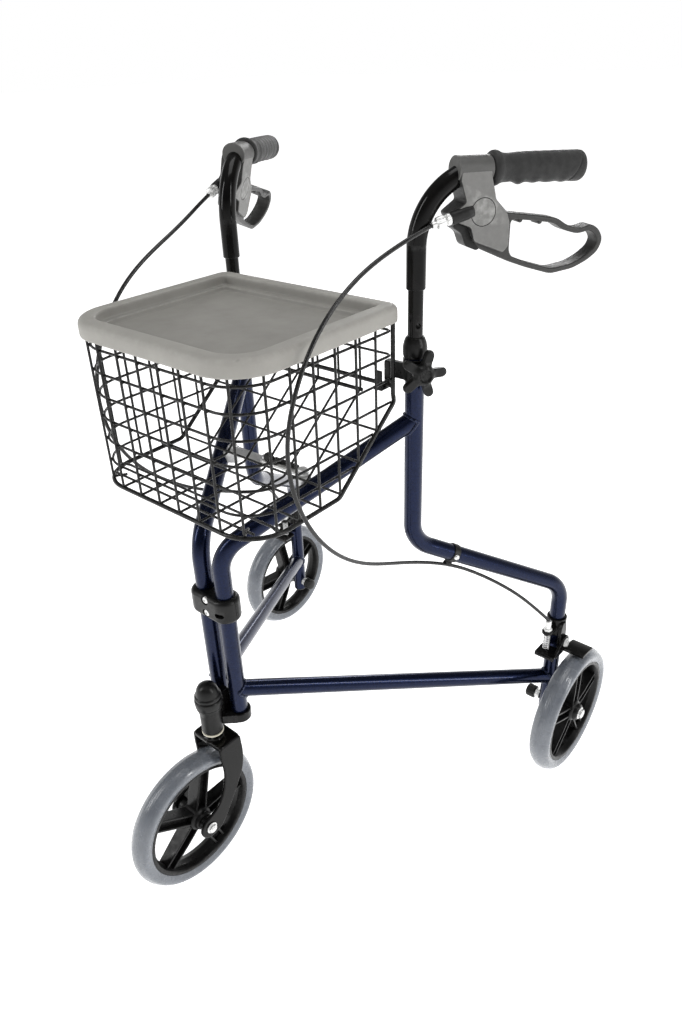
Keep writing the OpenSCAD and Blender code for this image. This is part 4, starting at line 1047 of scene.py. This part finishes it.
    # painted highlight: the flat sides are painted paler, standing in for the sheen the studio light puts on them
    hob = make("vis_%s_brake_housing" % side, g, m, M_GREY, B, ["%s_brake_housing" % side], cut=(slot, ring))
    at = hob.data.attributes.new("painted_light", 'FLOAT', 'POINT')
    inv = m.inverted()
    at.data.foreach_set("value", [1.0 if abs((inv @ v.co).z) > 14.6 else 0.0 for v in hob.data.vertices])
    g = Geo()
    oval = Matrix(((1, 0, 0, 0), (0, 1, 0, 0), (0, 0, 15.0 / 13.2, 0), (0, 0, 0, 1)))
    prof = [(p.x, p.y) for p in rnd([(0, 0.2), (13.2, 0.2), (13.2, 38.8), (0, 38.8)], 1.3, closed=False, n=4)]
    lathe(g, prof, 72, oval @ hax)
    hob = make("vis_%s_brake_strap" % side, g, m, M_GREY, B, ())
    # painted highlight: the whole strap is painted paler, standing in for the bright band the light puts on it
    at = hob.data.attributes.new("painted_light", 'FLOAT', 'POINT')
    at.data.foreach_set("value", [0.4] * len(hob.data.vertices))
    g = Geo()
    nose = along((277.5, 836.25, 12.5), (303, 842.2, 12.5))
    lathe(g, [(3.3, 0), (6.2, 0), (6.8, 0.5), (7.0, 1.4), (7.0, 18), (6.0, 25.5), (3.3, 25.5)], 40, nose, loop=True)
    rprism(g, rnd([(284, 832.5), (303, 824.5), (306, 812), (318, 806.5), (312, 800), (298, 806), (293, 819), (283, 826)], 3), -12, 8.5, 1.2, n=3)
    make("vis_%s_brake_nose" % side, g, m, M_DARK, B, ())
    # cable adjuster
    g = Geo()
    adj = along((257, 831.4, 12.5), (297, 840.8, 12.5))
    flute = lambda a, r, h: -0.5 * (0.5 + 0.5 * math.cos(14 * a)) if r > 5.2 else 0
    lathe(g, [(2.45, 0.2), (3.0, 0.2), (3.3, 0.6), (3.3, 4.6), (4.8, 5.1), (6.1, 5.6), (6.5, 6.4), (6.5, 13.2), (6.1, 14), (4.6, 14.5), (3.3, 15), (3.3, 16.4), (5.6, 16.6), (6.0, 17.2), (6.0, 20.2), (5.6, 20.8),
              (3.2, 21), (3.2, 39), (2.45, 39)], 84, adj, loop=True, mod=flute)
    make("vis_%s_adjuster" % side, g, m, M_BARE, B, ["%s_adjuster" % side], sharp=45)
    # loop lever
    Lb = "%s_lever" % side
    g = Geo()
    rprism(g, rnd(L_OUT, 6, n=6), -9.8, 9.8, 1.9, holes=[rnd(L_IN, 6, n=6)], n=4)
    for s, z in ((362, 826.6), (386, 822.9)):
        tube(g, [(s, z, -8.6), (s, z, 8.6)], 2.6, seg=20, cap=1.6)
    lathe(g, [(3.7, -9.8), (9.6, -9.8), (10.2, -9.2), (10.2, 9.2), (9.6, 9.8), (3.7, 9.8)], 40, T(313.7, 840, 0), loop=True)
    rprism(g, rnd([(304.5, 838), (322.5, 838), (324.5, 820), (306.5, 820)], 1), -9.7, 9.7, 0.8)
    make("vis_%s_lever" % side, g, m, M_GREY, Lb, ["%s_lever" % side])

# ---------------------------------------------------------------- wire basket
BK_H, BK_F, BK_R, BK_C, BK_RC, BK_Z, BK_B, BK_K, ZT = 134.0, -45.0, 188.0, 48.0, 10.0, 561.5, 84.0, 0.8, 744.0
LAY = 3.2
ZR = BK_Z + (BK_R - BK_B) * BK_K


def floor_z(y):
    return BK_Z if y <= BK_B else BK_Z + (y - BK_B) * BK_K


def u_path(h, f, r, z, e, n=14):
    half = [Vector((h, e, z)), Vector((h, f + r, z))]
    for i in range(1, n + 1):
        a = math.pi / 2 * i / n
        half.append(Vector((h - r + r * math.cos(a), f + r - r * math.sin(a), z)))
    return half + [Vector((-p.x, p.y, p.z)) for p in reversed(half)]


def rect_path(h, f, b, rf, rb, z, n=12):
    out = []
    for cx, cy, r, a0 in ((h - rb, b - rb, rb, 0), (-(h - rb), b - rb, rb, 90), (-(h - rf), f + rf, rf, 180), (h - rf, f + rf, rf, 270)):
        for i in range(n + 1):
            a = math.radians(a0 + 90 * i / n)
            out.append(Vector((cx + r * math.cos(a), cy + r * math.sin(a), z)))
    return out


g = Geo()
WR = 1.5
crossings = []
LEVELS = [587 + 27.5 * k for k in range(6)]
# lengthwise wires: down the front, along the floor, up the slope and the rear
for i in range(6):
    x = (i - 2.5) * 33
    front = bend_path([(x, BK_F, ZT), (x, BK_F, BK_Z + 1.5), (x, 20, BK_Z + 1.2)], 2.2, 18)
    tube(g, front[:-1] + bend_path([(x, 20, BK_Z + 1.2), (x, BK_B, BK_Z + 1.0), (x, BK_R, ZR + 1), (x, BK_R, ZT)], 10, 12), WR, seg=10, cap=0.8)
    for z in LEVELS:
        crossings.append((x, BK_F + LAY / 2, z))
        if z > ZR + 40:
            crossings.append((x, BK_R - LAY / 2, z))
# crosswise wires: down one side, across the floor, up the other
for y in (20, 53, 86, 119, 152):
    fz = floor_z(y) + LAY
    tube(g, bend_path([(BK_H, y, ZT), (BK_H, y, fz), (-BK_H, y, fz), (-BK_H, y, ZT)], 2.4, 18), WR, seg=10, cap=0.8)
    for z in LEVELS:
        if z > fz + 6:
            for s in (1, -1):
                crossings.append((s * (BK_H - LAY / 2), y, z))
# wires round the front corners, turned in under the floor
for s in (1, -1):
    for t in (31, 72):
        a = math.radians(t)
        cx, cy = BK_H - BK_C, BK_F + BK_C
        p = (s * (cx + BK_C * math.sin(a)), cy - BK_C * math.cos(a))
        q = (s * (cx + (BK_C - 16) * math.sin(a)), cy - (BK_C - 16) * math.cos(a))
        tube(g, bend_path([(p[0], p[1], ZT), (p[0], p[1], BK_Z + LAY), (q[0], q[1], BK_Z + LAY)], 2.4, 18), WR, seg=10, cap=0.8)
        for z in LEVELS:
            crossings.append((s * (cx + (BK_C - LAY / 2) * math.sin(a)), cy - (BK_C - LAY / 2) * math.cos(a), z))
# level wires inside the uprights
for z in LEVELS:
    if z > ZR + 40:
        tube(g, rect_path(BK_H - LAY, BK_F + LAY, BK_R - LAY, BK_C - LAY, 7, z), WR, seg=10, closed=True)
    else:
        tube(g, u_path(BK_H - LAY, BK_F + LAY, BK_C - LAY, z, min(BK_R - 5, BK_B + (z - BK_Z) / BK_K - 1)), WR, seg=10, cap=0.8)
# cross wires on the flat floor near the front
for y in (-30, -8):
    r = BK_C - 2.9
    w = BK_H - BK_C + math.sqrt(r * r - (BK_F + BK_C - y) ** 2)
    tube(g, [(-w, y, BK_Z + LAY), (0, y, BK_Z + LAY), (w, y, BK_Z + LAY)], WR, seg=10, cap=0.8)
# weld dots
for p in crossings:
    lathe(g, [(0, -2.1), (1.0, -1.8), (1.75, -0.9), (1.95, 0), (1.75, 0.9), (1.0, 1.8), (0, 2.1)], 8, T(*p))
make("vis_basket_mesh", g, fit_m(), M_WIRE, "basket", ["basket"], weighted=False)
# rods: top rim, floor rim with the slope and the rear posts, hanger
g = Geo()
tube(g, rect_path(BK_H, BK_F, BK_R, BK_C, BK_RC, ZT), 2.6, seg=16, closed=True)
low = u_path(BK_H, BK_F, BK_C, BK_Z, BK_B)
low = [Vector((131.5, 186, ZT - 2)), Vector((131.5, 186, ZR + 6)), Vector((BK_H, BK_R - 3, ZR - 2))] + low
low += [Vector((-BK_H, BK_R - 3, ZR - 2)), Vector((-131.5, 186, ZR + 6)), Vector((-131.5, 186, ZT - 2))]
tube(g, bend_path(low, 12, 8), 2.6, seg=16, cap=1.0)
tube(g, [(-85.5, BK_R, ZR), (0, BK_R, ZR), (85.5, BK_R, ZR)], 2.4, seg=16, cap=1.0)
tube(g, [(-130.5, 188.5, 659.2), (0, 188.5, 659.2), (130.5, 188.5, 659.2)], 2.6, seg=16, cap=1.0)
make("vis_basket_rods", g, fit_m(), M_WIRE, "basket", (), weighted=False)

# ---------------------------------------------------------------- tray
TW, TF, TR_, RF, RR = 140.0, -51.0, 194.0, 54.0, 16.0
PROF = [(40, 735.2), (18.4, 735.2), (17.6, 735.5), (17.2, 736.3), (17, 738), (17, 745.4), (16.4, 746.7), (15.2, 747.2), (6, 747.2), (4.2, 746.9), (3.4, 746), (3.1, 744), (3, 737), (2.7, 735.7), (2.1, 735.1), (1.3, 735.0),
        (0.6, 735.3), (0.15, 736.2), (0, 737.6), (0, 742), (0, 746.4), (0.3, 748.6), (1.1, 750.6), (2.4, 752.2), (4.2, 753.3), (6.6, 753.9), (9, 754), (15, 754), (17.0, 753.85), (18.4, 753.3), (19.3, 752.4), (19.8, 751.2),
        (20.2, 748.6), (20.7, 745.2), (21.0, 744.0), (21.6, 743.3), (22.6, 743.05), (26.6, 743), (27.7, 742.85), (28.4, 742.3), (28.8, 741.4), (29.2, 739.8), (29.7, 738.8), (30.6, 738.2), (32, 738.0), (50, 738.0)]
vs, fs = [], []
NP = 26
count = None
for d, z in PROF:
    ring_pts = rect_path(TW - d, TF + d, TR_ - d, max(RF - d, 8), max(RR - d, 5), z, NP)
    count = len(ring_pts)
    vs += [tuple(p) for p in ring_pts]
for i in range(len(PROF) - 1):
    for k in range(count):
        j = (k + 1) % count
        fs.append((i * count + k, i * count + j, (i + 1) * count + j, (i + 1) * count + k))
fs.append(tuple(reversed(range(count))))
fs.append(tuple((len(PROF) - 1) * count + k for k in range(count)))
g = Geo()
g.put(vs, fs)
tray = make("vis_tray", g, fit_m(), M_TRAY, "tray", ["tray"], sharp=50)
# painted shade: the recess walls and floor are painted darker, the top of the inner wall slightly darker
at = tray.data.attributes.new("painted_light", 'FLOAT', 'POINT')
painted_light = []
for v in tray.data.vertices:
    z = v.co.z / MM
    x, y = abs(v.co.x) / MM, v.co.y / MM - YS
    inner = min(TW - x, y - TF, TR_ - y) > 17.5 and z > 737
    painted_light.append(0.0 if not inner else (1.0 if z < 752.6 else 0.2))
at.data.foreach_set("value", painted_light)

# ---------------------------------------------------------------- floor, light
g = Geo()
n = 24
ext = 30000.0
pts = [(-ext + 2 * ext * i / n, -ext + 2 * ext * j / n, 0) for j in range(n + 1) for i in range(n + 1)]
g.put(pts, [(j * (n + 1) + i, j * (n + 1) + i + 1, (j + 1) * (n + 1) + i + 1, (j + 1) * (n + 1) + i) for j in range(n) for i in range(n)])
fl = bpy.data.objects.new("floor", bpy.data.meshes.new("floor"))
fl.data.from_pydata([Vector(p) * MM for p in g.v], [], g.f)
COL.objects.link(fl)
fm = material("floor_white", (0.90, 0.90, 0.90), (0.93, 0.93, 0.93), 0.85, 0.04, spec=0.1, blotch=2.0, grain=60, grain_h=0.00002)
for nd in fm.node_tree.nodes:
    if nd.type == 'BSDF_PRINCIPLED':
        nd.inputs['Emission Color'].default_value = (1, 1, 1, 1)
        nd.inputs['Emission Strength'].default_value = 0.88
fl.data.materials.append(fm)

world = bpy.data.worlds.new("studio")
scene.world = world
world.use_nodes = True
wn = world.node_tree
wn.nodes.clear()
wo = wn.nodes.new('ShaderNodeOutputWorld')
bg = wn.nodes.new('ShaderNodeBackground')
tc = wn.nodes.new('ShaderNodeTexCoord')
sp = wn.nodes.new('ShaderNodeSeparateXYZ')
rp = wn.nodes.new('ShaderNodeValToRGB')
wn.links.new(tc.outputs['Generated'], sp.inputs['Vector'])
wn.links.new(sp.outputs['Z'], rp.inputs['Fac'])
wn.links.new(rp.outputs['Color'], bg.inputs['Color'])
wn.links.new(bg.outputs['Background'], wo.inputs['Surface'])
els = rp.color_ramp.elements
els[0].position, els[0].color = 0.0, (1, 1, 1, 1)
els[1].position, els[1].color = 1.0, (0.4, 0.4, 0.4, 1)
for pos, v in ((0.06, 1.0), (0.30, 0.42), (0.50, 0.12), (0.80, 0.24)):
    e = els.new(pos)
    e.color = (v, v, v, 1)
bg.inputs['Strength'].default_value = 1.0


def area_light(name, loc, target, sx, sy, power):
    li = bpy.data.lights.new(name, 'AREA')
    li.shape = 'RECTANGLE'
    li.size, li.size_y, li.energy = sx, sy, power
    ob = bpy.data.objects.new(name, li)
    ob.location = loc
    ob.rotation_euler = (Vector(target) - Vector(loc)).to_track_quat('-Z', 'Y').to_euler()
    COL.objects.link(ob)
    return ob


area_light("key", (-1.3, -1.9, 2.0), (0, 0, 0.5), 0.36, 1.9, 26)
area_light("side", (2.3, 0.5, 1.5), (0, 0, 0.5), 0.24, 2.0, 22)
area_light("top", (0.2, 0.3, 2.8), (0, 0, 0.4), 1.2, 1.2, 15)
area_light("back", (-1.2, 2.4, 1.6), (0, 0, 0.6), 0.30, 1.8, 16)
scene.view_settings.view_transform = 'Standard'
